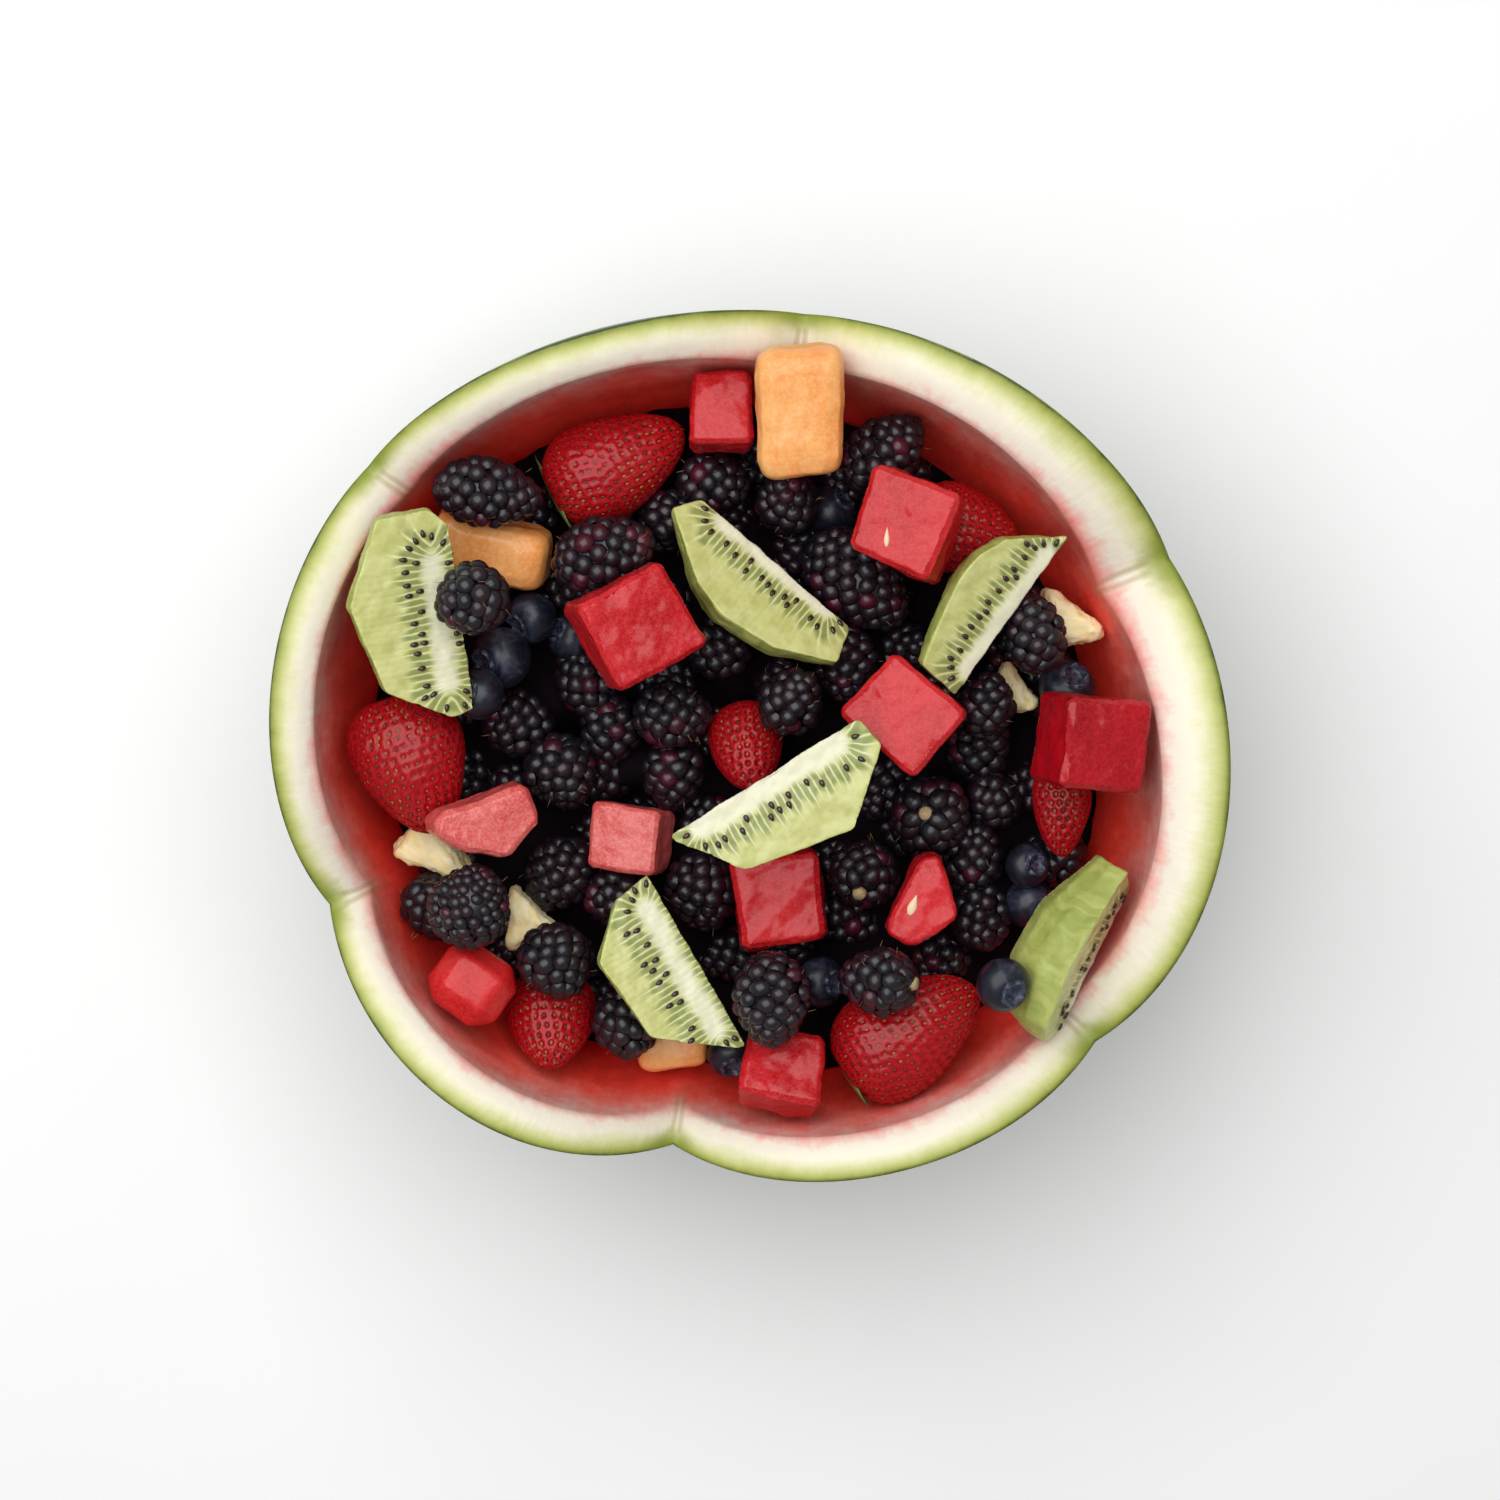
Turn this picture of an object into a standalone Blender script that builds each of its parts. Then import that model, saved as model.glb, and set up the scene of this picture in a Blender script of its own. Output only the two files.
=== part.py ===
"""Fruit salad in a bowl carved from half a watermelon. Metres, +Z up.

The origin lies on the table under the middle of the bowl. The bowl's rim is cut
into six petals. Berries, kiwi wedges, strawberries and chunks of melon and
pineapple are laid into it one after another, from the bottom up: each one is
lowered at its own place until it meets what already lies there. The loose
berries between and under them are one solid, the heap.
"""
from math import cos, hypot, pi, radians, sin, sqrt, tau
import random

import bmesh
import bpy
from mathutils import Matrix, Vector
from mathutils.bvhtree import BVHTree

MM = 0.001
GAP = 0.4 * MM                  # clear space kept between two pieces that touch

# Melon bowl: the whole melon is an ellipse in plan, a little wider than high
BODY_LONG = 134.6 * MM          # half lengths of the ellipse
BODY_SHORT = 120.8 * MM
BODY_HEADING = 165              # degrees from +X to the long axis
FLAT_SHARE = 0.28               # width of the flat spot underneath, as a share of the body
EQUATOR_Z = 121 * MM            # height at which the melon is widest
EQUATOR_SLOPE = 0.105           # the widest line sinks towards +Y
CREST_Z = 126 * MM              # height of each petal's middle
CUT_SLOPE = 0.13                # the cut face falls inwards
EDGE_ROUND = 2.0 * MM           # soft inner edge of the cut face
THIN_WALL = 12 * MM             # width of the cut face, all round
EXTRA_WALL = 7.5 * MM            # and what it gains on its thick side
THICK_HEADING = 20              # degrees
THICK_BELOW = 0.4               # how much that gain grows from the rim to the cavity's floor
CAVITY_FLOOR = 32 * MM
CAVITY_POWER = 2.9              # how steep the inside is near the rim
PETAL_POWER = 2.2               # how flat a petal is on top
COLUMNS_PER_PETAL = 12
SIDE_STEPS = (0, 0.05, 0.14, 0.27, 0.44, 0.63, 0.82, 1)     # shares of the rim's height
CAVITY_STEPS = (0.12, 0.28, 0.46, 0.64, 0.82, 0.95)         # shares of the cavity's depth

# Valleys between the petals: heading (degrees), depth below the crests (mm), and
# how far the petal that follows swells out (mm)
VALLEYS = (
    (24, 20, 2.6),
    (83, 20, -1.5),
    (144, 20, -0.5),
    (201, 22, 7.0),
    (259, 27, 0.5),
    (319, 22, -1.2),
)

# Heap: the bed of loose berries, a low dome
HEAP_TOP_Z = 82 * MM
HEAP_FALL = 2 * MM              # how much lower it is at the wall
HEAP_WALL_GAP = 1.3 * MM
HEAP_RINGS = 15
HEAP_UNDER_RINGS = 4
HEAP_PIECE_GAP = 0.7 * MM
BERRY_SUNK = 0.3                # how far a loose berry's middle lies below a bramble's, in radii
PRESS_STEP = 1 * MM             # how the heap is pressed down under a piece
PRESS_SHARE = 0.99              # and drawn in where it meets the wall

# Height of each kind's middle above the heap's dome where nothing holds it up
REST = {
    "bramble": 6 * MM,
    "blueberry": 7 * MM,
    "melon_cube": 7 * MM,
    "kiwi_wedge": 17 * MM,
    "strawberry": 8 * MM,
    "cantaloupe": 7 * MM,
    "pineapple": 8 * MM,
}
DROP_FROM = 60 * MM             # how far above that its way down starts
DROP_STEP = 1.5 * MM
DROP_ACCURACY = 0.05 * MM
SLIDES = (0, 1 * MM, 2 * MM, 3 * MM)        # a piece may slide this far to lie lower
SLIDE_WAYS = 8                  # in this many directions
SLIDE_COST = 1.2                # how much lower it must get for that, per distance slid
SLIDE_GAIN = 0.2 * MM           # and at the very least

COLOURS = {                     # base colour and roughness
    "melon_bowl": ((0.72, 0.66, 0.42), 0.45),
    "fruit_heap": ((0.012, 0.012, 0.02), 0.4),
    "bramble": ((0.015, 0.015, 0.028), 0.35),
    "blueberry": ((0.03, 0.04, 0.09), 0.5),
    "melon_cube": ((0.66, 0.035, 0.05), 0.4),
    "kiwi_wedge": ((0.42, 0.48, 0.13), 0.4),
    "strawberry": ((0.55, 0.01, 0.02), 0.3),
    "cantaloupe": ((0.85, 0.36, 0.1), 0.45),
    "pineapple": ((0.85, 0.68, 0.3), 0.45),
}

# Strawberry: radius at shares of the length, from the stalk's dent to the tip
STRAWBERRY_PROFILE = (
    (0.02, 0), (0, 0.22), (0.1, 0.41), (0.28, 0.5), (0.52, 0.46), (0.76, 0.33), (0.93, 0.17), (1, 0),
)
STRAWBERRY_MIDDLE = 0.45        # share of the length at which it is turned
STRAWBERRY_SIDES = 10

# Bramble: how much it narrows to its tip, and how its lumps stand out and its hollows lie back
BRAMBLE_TAPER = 0.22
BRAMBLE_LUMP = 1.05
BRAMBLE_HOLLOW = 0.98

# Blueberry: its height and the depth of its crown's dent, as shares of its diameter
BLUEBERRY_HEIGHT = 0.88
BLUEBERRY_DENT = 0.12

CORNER_PLAY = 0.045             # how far the corners of a hand-cut block are off, as a share of it
WEDGE_TOP = 0.54                # size of an offcut's narrow and broad end
WEDGE_FOOT = 0.6

# Chunks that are no plain blocks: the outline of the top, in mm
CHUNK_OUTLINES = {
    "tapered": ((-16, -2), (-14, 3), (12, 10), (16, -1), (5, -12), (-9, -8)),
    "narrow": ((13, -5), (13, 1), (7, 4), (-5, 10), (-10, 11), (-14, 3), (-5, -11)),
}

# Kiwi wedges: the outline of the cut face, as (along the core, out from it) in mm.
# It starts and ends on the core, and the blunt corners are where the peel was cut off
KIWI_OUTLINES = {
    "rim": ((0, 0), (-1, 7), (9, 25), (34, 32), (57, 21), (58, 6), (52, 0)),
    "long": ((0, 0), (-4, 12), (13, 22), (30, 25), (41, 22), (60, 9), (55, 0)),
    "slim": ((0, 0), (2, 15), (13, 18), (27, 21), (36, 20), (44, 16), (55, 0)),
    "peel_up": ((0, 0), (-5, 9), (-1, 18), (13, 23), (30, 22), (49, 13), (44, 0)),
    "blunt": ((0, 0), (0, 2), (16, 23), (42, 25), (54, 12), (56, 0)),
    "broad": ((0, 0), (-2, 10), (17, 26), (48, 20), (61, 2), (61, 0)),
}
KIWI_PEEL_FACETS = 3


def clear_scene():
    for item in list(bpy.data.objects):
        bpy.data.objects.remove(item, do_unlink=True)


# ---------------------------------------------------------------- melon bowl

def ellipse_radius(heading):
    turned = radians(heading - BODY_HEADING)
    return BODY_LONG * BODY_SHORT / hypot(BODY_SHORT * cos(turned), BODY_LONG * sin(turned))


def wall_width(heading, depth=0):
    towards_thick_side = 0.5 + 0.5 * cos(radians(heading - THICK_HEADING))
    return THIN_WALL + EXTRA_WALL * towards_thick_side ** 4 * (1 + THICK_BELOW * depth)


def rim_at(column):
    """Heading in degrees, rim height and swelling at one of the bowl's columns."""
    petal = column // COLUMNS_PER_PETAL
    share = column % COLUMNS_PER_PETAL / COLUMNS_PER_PETAL
    start, depth_before, swelling = VALLEYS[petal]
    end, depth_after, _ = VALLEYS[(petal + 1) % len(VALLEYS)]
    heading = start + (end - start) % 360 * share
    across = 2 * share - 1
    depth = depth_before if across < 0 else depth_after
    height = CREST_Z - depth * MM * abs(across) ** PETAL_POWER
    return heading, height, swelling * MM * sin(pi * share)


def body_radius(heading, height, swelling):
    """Distance from the axis to the skin."""
    widest = ellipse_radius(heading) + swelling
    equator = EQUATOR_Z - EQUATOR_SLOPE * widest * sin(radians(heading))
    below = 1 - height / equator
    return widest * sqrt(1 - (1 - FLAT_SHARE ** 2) * below ** 2)


def cavity_radius(heading, height, swelling):
    """Distance from the axis to the inner wall."""
    depth = min(max((CREST_Z - height) / (CREST_Z - CAVITY_FLOOR), 0), 1)
    widest = ellipse_radius(heading) + swelling - wall_width(heading, depth)
    return widest * sqrt(1 - depth ** CAVITY_POWER)


def wrapped_grid(columns, rows, place):
    """A closed mesh of rings. place(column, row) gives a point; the first and the
    last row are each one point on the axis."""
    bm = bmesh.new()
    bmesh.ops.create_grid(bm, x_segments=columns, y_segments=rows, size=0.5)
    for vert in bm.verts:
        column = round((vert.co.x + 0.5) * columns) % columns
        row = round((vert.co.y + 0.5) * rows)
        vert.co = place(column, row)
    bmesh.ops.remove_doubles(bm, verts=bm.verts, dist=0.01 * MM)
    bmesh.ops.triangulate(bm, faces=bm.faces)
    bmesh.ops.recalc_face_normals(bm, faces=bm.faces)
    return bm


def polar(heading, radius, height):
    return Vector((radius * cos(radians(heading)), radius * sin(radians(heading)), height))


def bowl_section(column):
    """The bowl's wall at one column, from the middle underneath, up the skin, over
    the cut face and down to the middle of the cavity."""
    heading, rim_z, swelling = rim_at(column)
    points = [Vector((0, 0, 0))]
    for step in SIDE_STEPS:
        height = step * rim_z
        points.append(polar(heading, body_radius(heading, height, swelling), height))
    skin_edge = body_radius(heading, rim_z, swelling)
    inner_z = rim_z - CUT_SLOPE * wall_width(heading)
    inner_edge = cavity_radius(heading, inner_z, swelling)
    points.append(polar(heading, (skin_edge + inner_edge) / 2, (rim_z + inner_z) / 2))
    points.append(polar(heading, inner_edge + EDGE_ROUND, inner_z + CUT_SLOPE * EDGE_ROUND))
    points.append(polar(heading, inner_edge, inner_z - EDGE_ROUND))
    for step in CAVITY_STEPS:
        height = inner_z + (CAVITY_FLOOR - inner_z) * step
        points.append(polar(heading, cavity_radius(heading, height, swelling), height))
    points.append(Vector((0, 0, CAVITY_FLOOR)))
    return points


def bowl_mesh():
    columns = COLUMNS_PER_PETAL * len(VALLEYS)
    sections = [bowl_section(column) for column in range(columns)]
    return wrapped_grid(columns, len(sections[0]) - 1, lambda column, row: sections[column][row])


def box_centre(bm):
    xs = [vert.co.x for vert in bm.verts]
    ys = [vert.co.y for vert in bm.verts]
    return Vector(((min(xs) + max(xs)) / 2, (min(ys) + max(ys)) / 2, 0))


# ---------------------------------------------------------------- pieces of fruit
# Each is made round its own middle, with its length along +X. Sizes are in mm

def scaled(bm, *sizes):
    bmesh.ops.scale(bm, vec=Vector(sizes) * MM, verts=bm.verts)


def chunk(length, width, height, round_off, seed, segments=1):
    """A block cut by hand: its corners are a little off, its edges blunt."""
    rng = random.Random(seed)
    bm = bmesh.new()
    bmesh.ops.create_cube(bm, size=1)
    scaled(bm, length, width, height)
    for vert in bm.verts:
        vert.co += Vector([rng.uniform(-CORNER_PLAY, CORNER_PLAY) * size * MM
                           for size in (length, width, height)])
    bmesh.ops.bevel(bm, geom=bm.edges[:], offset=round_off * MM, segments=segments,
                    affect="EDGES", profile=0.5, material=-1)
    return bm


def slab(outline, height, round_off):
    """A flat-topped chunk of any outline."""
    bm = bmesh.new()
    corners = [bm.verts.new((x * MM, y * MM, height * MM / 2)) for x, y in CHUNK_OUTLINES[outline]]
    base = bmesh.ops.extrude_face_region(bm, geom=[bm.faces.new(corners)], use_keep_orig=True)
    lower = [item for item in base["geom"] if isinstance(item, bmesh.types.BMVert)]
    bmesh.ops.translate(bm, vec=(0, 0, -height * MM), verts=lower)
    bmesh.ops.recalc_face_normals(bm, faces=bm.faces)
    bmesh.ops.bevel(bm, geom=bm.edges[:], offset=round_off * MM, segments=1,
                    affect="EDGES", profile=0.5, material=-1)
    return bm


def wedge(length, width, height, round_off):
    """A three-sided offcut, its point towards +X."""
    bm = bmesh.new()
    bmesh.ops.create_cone(bm, cap_ends=True, segments=3, radius1=WEDGE_FOOT,
                          radius2=WEDGE_TOP, depth=1, matrix=Matrix.Rotation(-pi / 2, 4, "Z"))
    scaled(bm, length, width, height)
    bmesh.ops.bevel(bm, geom=bm.edges[:], offset=round_off * MM, segments=1,
                    affect="EDGES", profile=0.5, material=-1)
    return bm


def bramble(length, width):
    """A lumpy berry: blunt at the stalk's end (-X), narrower at the tip (+X)."""
    bm = bmesh.new()
    bmesh.ops.create_icosphere(bm, subdivisions=2, radius=0.5)
    for vert in bm.verts:
        lump = BRAMBLE_LUMP if len(vert.link_edges) == 5 else BRAMBLE_HOLLOW
        taper = 1 - BRAMBLE_TAPER * max(vert.co.x + 0.1, 0)
        vert.co = Vector((vert.co.x, vert.co.y * taper, vert.co.z * taper)) * lump
    scaled(bm, length, width, width)
    return bm


def blueberry(diameter):
    """Round, a little flat, with the dent of its crown on top."""
    bm = bmesh.new()
    bmesh.ops.create_icosphere(bm, subdivisions=2, radius=0.5)
    scaled(bm, diameter, diameter, BLUEBERRY_HEIGHT * diameter)
    top = max(bm.verts, key=lambda vert: vert.co.z)
    top.co.z -= BLUEBERRY_DENT * diameter * MM
    return bm


def strawberry(length, width, thickness):
    """A turned cone with round shoulders and a blunt tip towards +X."""
    bm = bmesh.new()
    profile = [bm.verts.new((along - STRAWBERRY_MIDDLE, radius, 0))
               for along, radius in STRAWBERRY_PROFILE]
    edges = [bm.edges.new(pair) for pair in zip(profile, profile[1:])]
    bmesh.ops.spin(bm, geom=profile + edges, cent=(0, 0, 0), axis=(1, 0, 0), angle=tau,
                   steps=STRAWBERRY_SIDES, use_merge=True)
    bmesh.ops.remove_doubles(bm, verts=bm.verts, dist=0.0001)
    scaled(bm, length, width, thickness)
    return bm


def kiwi_wedge(outline, turn):
    """A wedge cut lengthwise. Its core runs from the origin along +X, one cut face
    lies in z = 0, and the wedge is that face turned down about the core."""
    bm = bmesh.new()
    corners = [bm.verts.new((along * MM, out * MM, 0)) for along, out in KIWI_OUTLINES[outline]]
    face = bm.faces.new(corners)
    bmesh.ops.spin(bm, geom=corners + face.edges[:] + [face], cent=(0, 0, 0), axis=(1, 0, 0),
                   angle=-radians(turn), steps=KIWI_PEEL_FACETS)
    bmesh.ops.remove_doubles(bm, verts=bm.verts, dist=0.01 * MM)
    return bm


# ---------------------------------------------------------------- laying the salad

class Placed:
    """Meshes that lie in place, as one tree of faces that another piece can meet."""

    def __init__(self, *meshes):
        self.points = []
        self.faces = []
        for bm in meshes:
            self.add(bm)

    def add(self, bm):
        first = len(self.points)
        bm.verts.index_update()
        self.points += [vert.co.copy() for vert in bm.verts]
        self.faces += [[first + vert.index for vert in face.verts] for face in bm.faces]
        self.tree = BVHTree.FromPolygons(self.points, self.faces)


def grown(bm, gap):
    """The points and faces of a mesh pushed outwards by a gap."""
    bm.normal_update()
    bm.verts.index_update()
    points = [vert.co + vert.normal * gap for vert in bm.verts]
    faces = [[vert.index for vert in face.verts] for face in bm.faces]
    return points, faces


def dome_z(x, y):
    share = hypot(x, y) / BODY_SHORT
    return HEAP_TOP_Z - HEAP_FALL * min(share, 1) ** 2


def resting_z(points, faces, placed, shift, lowest):
    """How high a turned piece lies when it comes down at a place."""
    def meets(height):
        moved = [point + shift + Vector((0, 0, height)) for point in points]
        return bool(placed.tree.overlap(BVHTree.FromPolygons(moved, faces)))

    height = lowest + DROP_FROM
    while height > lowest and not meets(height):
        height -= DROP_STEP
    if height <= lowest and not meets(lowest):
        return lowest
    low, high = max(height, lowest), height + DROP_STEP
    while high - low > DROP_ACCURACY:
        middle = (low + high) / 2
        if meets(middle):
            low = middle
        else:
            high = middle
    return high


def lay(bm, placed, kind, x, y, heading, pitch=0, roll=0, rest=0):
    """Turn a piece, lower it at (x, y) in mm and keep it where it comes to lie.
    pitch lifts its front (+X), roll its left side, and rest lifts all of it."""
    turned = (Matrix.Rotation(radians(heading), 4, "Z") @ Matrix.Rotation(radians(-pitch), 4, "Y")
              @ Matrix.Rotation(radians(roll), 4, "X"))
    bmesh.ops.transform(bm, matrix=turned, verts=bm.verts)
    bmesh.ops.triangulate(bm, faces=bm.faces)
    bmesh.ops.recalc_face_normals(bm, faces=bm.faces)
    points, faces = grown(bm, GAP)
    best = None
    for slide in SLIDES:
        for way in range(SLIDE_WAYS if slide else 1):
            shift = Vector((x, y, 0)) * MM + polar(360 * way / SLIDE_WAYS, slide, 0)
            lowest = dome_z(shift.x, shift.y) + REST[kind] + rest * MM
            height = resting_z(points, faces, placed, shift, lowest)
            cost = height + SLIDE_COST * slide
            if best is None or cost < best[0] - SLIDE_GAIN:
                best = (cost, shift + Vector((0, 0, height)))
    bmesh.ops.translate(bm, vec=best[1], verts=bm.verts)
    placed.add(bm)
    return kind, bm


def lay_salad(bowl):
    """Every piece that can be told apart, from the bottom up."""
    placed = Placed(bowl)
    pieces = []

    def add(kind, bm, *place, **turns):
        pieces.append(lay(bm, placed, kind, *place, **turns))

    # low in the heap and against the wall
    add("pineapple", wedge(27, 17, 9, 1.2), -91, -31, -38, roll=12, rest=-3)
    add("pineapple", wedge(22, 20, 10, 1.5), 91.5, 33, -10, roll=-8, rest=-4)
    add("pineapple", wedge(17, 15, 9, 1.2), 74.5, 13, 100, rest=-5)
    add("pineapple", wedge(19, 15, 11, 1.2), -64, -52, 110)
    add("strawberry", strawberry(42, 30, 27), -39, 78, 27)
    add("strawberry", strawberry(45, 33, 28), 44, -86, 33)
    add("strawberry", strawberry(41, 33, 27), -96, -5, -70, pitch=4, rest=-2)
    add("strawberry", strawberry(30, 26, 25), -57, -80, -90, pitch=40)
    add("strawberry", strawberry(27, 17, 17), 89, -19, -90)
    add("strawberry", strawberry(30, 26, 23), 60, 60, -10)
    add("strawberry", strawberry(28, 22, 22), -1, -2, -80, pitch=45, rest=-2)
    add("cantaloupe", chunk(33, 17, 18, 4, 3, 2), -73, 54, -12, roll=10)
    add("cantaloupe", chunk(20, 14, 12, 3, 7, 2), -22, -88, 5, rest=-5)
    add("blueberry", blueberry(15), -60.5, 36.5, 210, pitch=-55)
    add("blueberry", blueberry(18), -68, 26, 200, pitch=-50)
    add("blueberry", blueberry(15), -76, 14, 160, pitch=-40)
    add("blueberry", blueberry(16.5), 90, 15, 60, pitch=-40)
    add("blueberry", blueberry(13), 79, -36, 20, pitch=-30)
    add("blueberry", blueberry(14), -6.5, -90, 280, pitch=-40)

    # the berries between them
    add("bramble", bramble(24, 20), -10.5, 73, -10, pitch=15)
    add("bramble", bramble(30, 22), 40, 84, 42, pitch=8)
    add("bramble", bramble(26, 19), 80, 31, 100)
    add("bramble", bramble(21, 18), 67, 11, 80, pitch=15)
    add("bramble", bramble(25, 24), 52, -21.5, -30, pitch=-75)
    add("bramble", bramble(22, 22), 33, -38, 70, pitch=-50)
    add("bramble", bramble(25, 21), -19, 7.5, 0)
    add("bramble", bramble(23, 20), 9.5, 9.5, 60, pitch=25)
    add("bramble", bramble(25, 23), -54, -9, -60, pitch=15)
    add("bramble", bramble(23, 19), -92, -48, -70, pitch=-20, rest=-3)
    add("bramble", bramble(23, 22), -34.5, -80, 20, pitch=-15)
    add("bramble", bramble(25, 23), -55, -61.5, -60, pitch=8)
    add("bramble", bramble(26, 21), 36, -66, 180, pitch=-25)
    add("bramble", bramble(22, 20), 10.5, 68, 100, pitch=40)
    add("bramble", bramble(39, 27), 29, 47, -42)
    add("bramble", bramble(33, 24), -41, 56, 18)
    add("melon_cube", chunk(23, 21, 18, 5, 21), -80.5, -70, -35, roll=-12)
    add("bramble", bramble(27, 25), -78.5, -48, 70, pitch=15)

    # chunks, wedges and berries that lie on the others
    add("cantaloupe", chunk(37, 23, 17, 4.5, 5, 2), 14, 93, 92, pitch=14)
    add("melon_cube", chunk(18, 21, 17, 1.6, 12), -5, 93, 0, roll=-14)
    add("melon_cube", chunk(23, 21, 17, 1.6, 17), 9, -93.5, -10, roll=-26)
    add("melon_cube", slab("narrow", 14, 1.4), 46.5, -46, 90)
    add("melon_cube", slab("tapered", 18, 1.8), -75, -20.5, 3, pitch=-14)
    add("melon_cube", chunk(21, 20, 20, 1.4, 37), -34, -28, -7, pitch=12)
    add("melon_cube", chunk(26, 27, 21, 1.8, 41), 11, -45.5, 8, roll=-4)
    add("bramble", bramble(30, 24), 6, -71, -90, pitch=16)
    add("melon_cube", chunk(26, 27, 23, 1.8, 43), 98.5, 1, -6, pitch=-18)
    add("melon_cube", chunk(28, 28, 20, 1.6, 47), -31.5, 34, 28, pitch=-14, roll=4)
    add("melon_cube", chunk(26, 27, 23, 1.8, 53), 44, 62, -21, pitch=10)
    add("kiwi_wedge", kiwi_wedge("blunt", 40), -0.5, -84, 120, roll=18)
    add("kiwi_wedge", kiwi_wedge("slim", 45), 57.5, 13.5, 55, roll=26)
    add("melon_cube", chunk(23, 29, 20, 1.6, 59), 44.5, 8.5, 50, roll=-4)
    add("kiwi_wedge", kiwi_wedge("long", 45), 28.5, 33, 139, roll=32)
    add("kiwi_wedge", kiwi_wedge("broad", 40), 29.5, 9, 212)
    add("kiwi_wedge", kiwi_wedge("peel_up", 70), 90, -82.5, 64, roll=70, rest=-8)
    add("kiwi_wedge", kiwi_wedge("rim", 32), -79.5, 10, 97, pitch=6, roll=20)
    add("bramble", bramble(34, 22), -75.5, 70.5, -8)
    add("bramble", bramble(24, 22), -76.5, 41.5, 200, pitch=20)
    add("blueberry", blueberry(15.5), 73, -65.5, -35, pitch=-35)
    return pieces


# ---------------------------------------------------------------- heap

# Loose berries that shape the heap's top: x, y, diameter (mm)
LOOSE_BERRIES = (
    (66, -2, 20), (70, -18, 18), (64, -34, 20), (66, -50, 20), (10, -62, 20), (-14, -44, 22),
    (-22, -10, 20), (-47, 17, 20), (-67, 5, 22), (-55, -39, 22), (-40, 2, 20), (-43, -10, 20),
    (-8, 27, 21), (27, 22, 21), (-82, 59, 19), (-51, 29, 14), (23, 65, 15), (-15, 85, 15),
    (80, -47, 15), (20, -70, 15), (-16, -85, 15), (-38, -45, 20), (10, -20, 20), (62, 32, 19),
    (-24, 62, 19), (-6, 48, 20), (55, 88, 16), (-66, -88, 16), (-98, 22, 18), (-30, -60, 19),
)


def heap_height(x, y):
    """The heap's top before the pieces press it down."""
    height = dome_z(x, y)
    for berry_x, berry_y, diameter in LOOSE_BERRIES:
        radius = diameter * MM / 2
        away = hypot(x - berry_x * MM, y - berry_y * MM)
        if away < radius:
            cap = dome_z(x, y) + REST["bramble"] - BERRY_SUNK * radius + sqrt(radius ** 2 - away ** 2)
            height = max(height, cap)
    return height


def free_height(x, y, placed):
    """How high the heap may rise before it meets a piece above it."""
    hit = placed.tree.ray_cast(Vector((x, y, CAVITY_FLOOR + 5 * MM)), Vector((0, 0, 1)))
    return hit[0].z - HEAP_PIECE_GAP if hit[0] else CREST_Z


def heap_section(column, placed):
    """The heap at one column, from the middle of its top to the middle underneath."""
    heading, _, swelling = rim_at(column)
    edge_z = HEAP_TOP_Z - HEAP_FALL
    edge_radius = cavity_radius(heading, edge_z, swelling) - HEAP_WALL_GAP
    points = []
    for ring in range(HEAP_RINGS + 1):
        point = polar(heading, edge_radius * ring / HEAP_RINGS, 0)
        top = heap_height(point.x, point.y) if ring < HEAP_RINGS else edge_z
        point.z = min(top, free_height(point.x, point.y, placed))
        points.append(point)
    bottom_z = CAVITY_FLOOR + 2 * HEAP_WALL_GAP
    edge_z = points[-1].z
    points[-1] = polar(heading, cavity_radius(heading, edge_z, swelling) - HEAP_WALL_GAP, edge_z)
    for ring in range(1, HEAP_UNDER_RINGS + 1):
        share = ring / (HEAP_UNDER_RINGS + 1)
        height = edge_z + (bottom_z - edge_z) * sin(share * pi / 2)
        points.append(polar(heading, cavity_radius(heading, height - HEAP_WALL_GAP, swelling)
                            - HEAP_WALL_GAP, height))
    points.append(Vector((0, 0, bottom_z)))
    return points


def points_that_meet(bm, tree):
    bm.faces.ensure_lookup_table()
    points, faces = grown(bm, GAP)
    meeting = {pair[0] for pair in BVHTree.FromPolygons(points, faces).overlap(tree)}
    return {vert for index in meeting for vert in bm.faces[index].verts}


def heap_mesh(over, bowl):
    """The heap under the pieces that lie over it, clear of them and of the bowl."""
    columns = COLUMNS_PER_PETAL * len(VALLEYS)
    sections = [heap_section(column, over) for column in range(columns)]
    bm = wrapped_grid(columns, len(sections[0]) - 1, lambda column, row: sections[column][row])
    pressed = drawn_in = True
    while pressed or drawn_in:
        pressed = points_that_meet(bm, over.tree)
        drawn_in = points_that_meet(bm, bowl.tree)
        for vert in pressed:
            vert.co.z -= PRESS_STEP
        for vert in drawn_in:
            vert.co.xy *= PRESS_SHARE
    return bm


# ---------------------------------------------------------------- objects

def make_material(kind):
    colour, roughness = COLOURS[kind]
    material = bpy.data.materials.new(kind)
    material.use_nodes = True
    shader = material.node_tree.nodes["Principled BSDF"]
    shader.inputs["Base Color"].default_value = (*colour, 1)
    shader.inputs["Roughness"].default_value = roughness
    return material


def make_object(name, kind, bm):
    bmesh.ops.recalc_face_normals(bm, faces=bm.faces)
    mesh = bpy.data.meshes.new(name)
    bm.to_mesh(mesh)
    bm.free()
    mesh.materials.append(bpy.data.materials.get(kind) or make_material(kind))
    item = bpy.data.objects.new(name, mesh)
    bpy.context.collection.objects.link(item)
    return item


def main():
    clear_scene()
    bowl = bowl_mesh()
    bmesh.ops.translate(bowl, vec=-box_centre(bowl), verts=bowl.verts)
    pieces = lay_salad(bowl)
    heap = heap_mesh(Placed(*(bm for kind, bm in pieces)), Placed(bowl))
    make_object("melon_bowl", "melon_bowl", bowl)
    make_object("fruit_heap", "fruit_heap", heap)
    count = {}
    for kind, bm in pieces:
        count[kind] = count.get(kind, 0) + 1
        make_object(f"{kind}_{count[kind]:02d}", kind, bm)


main()
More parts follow.
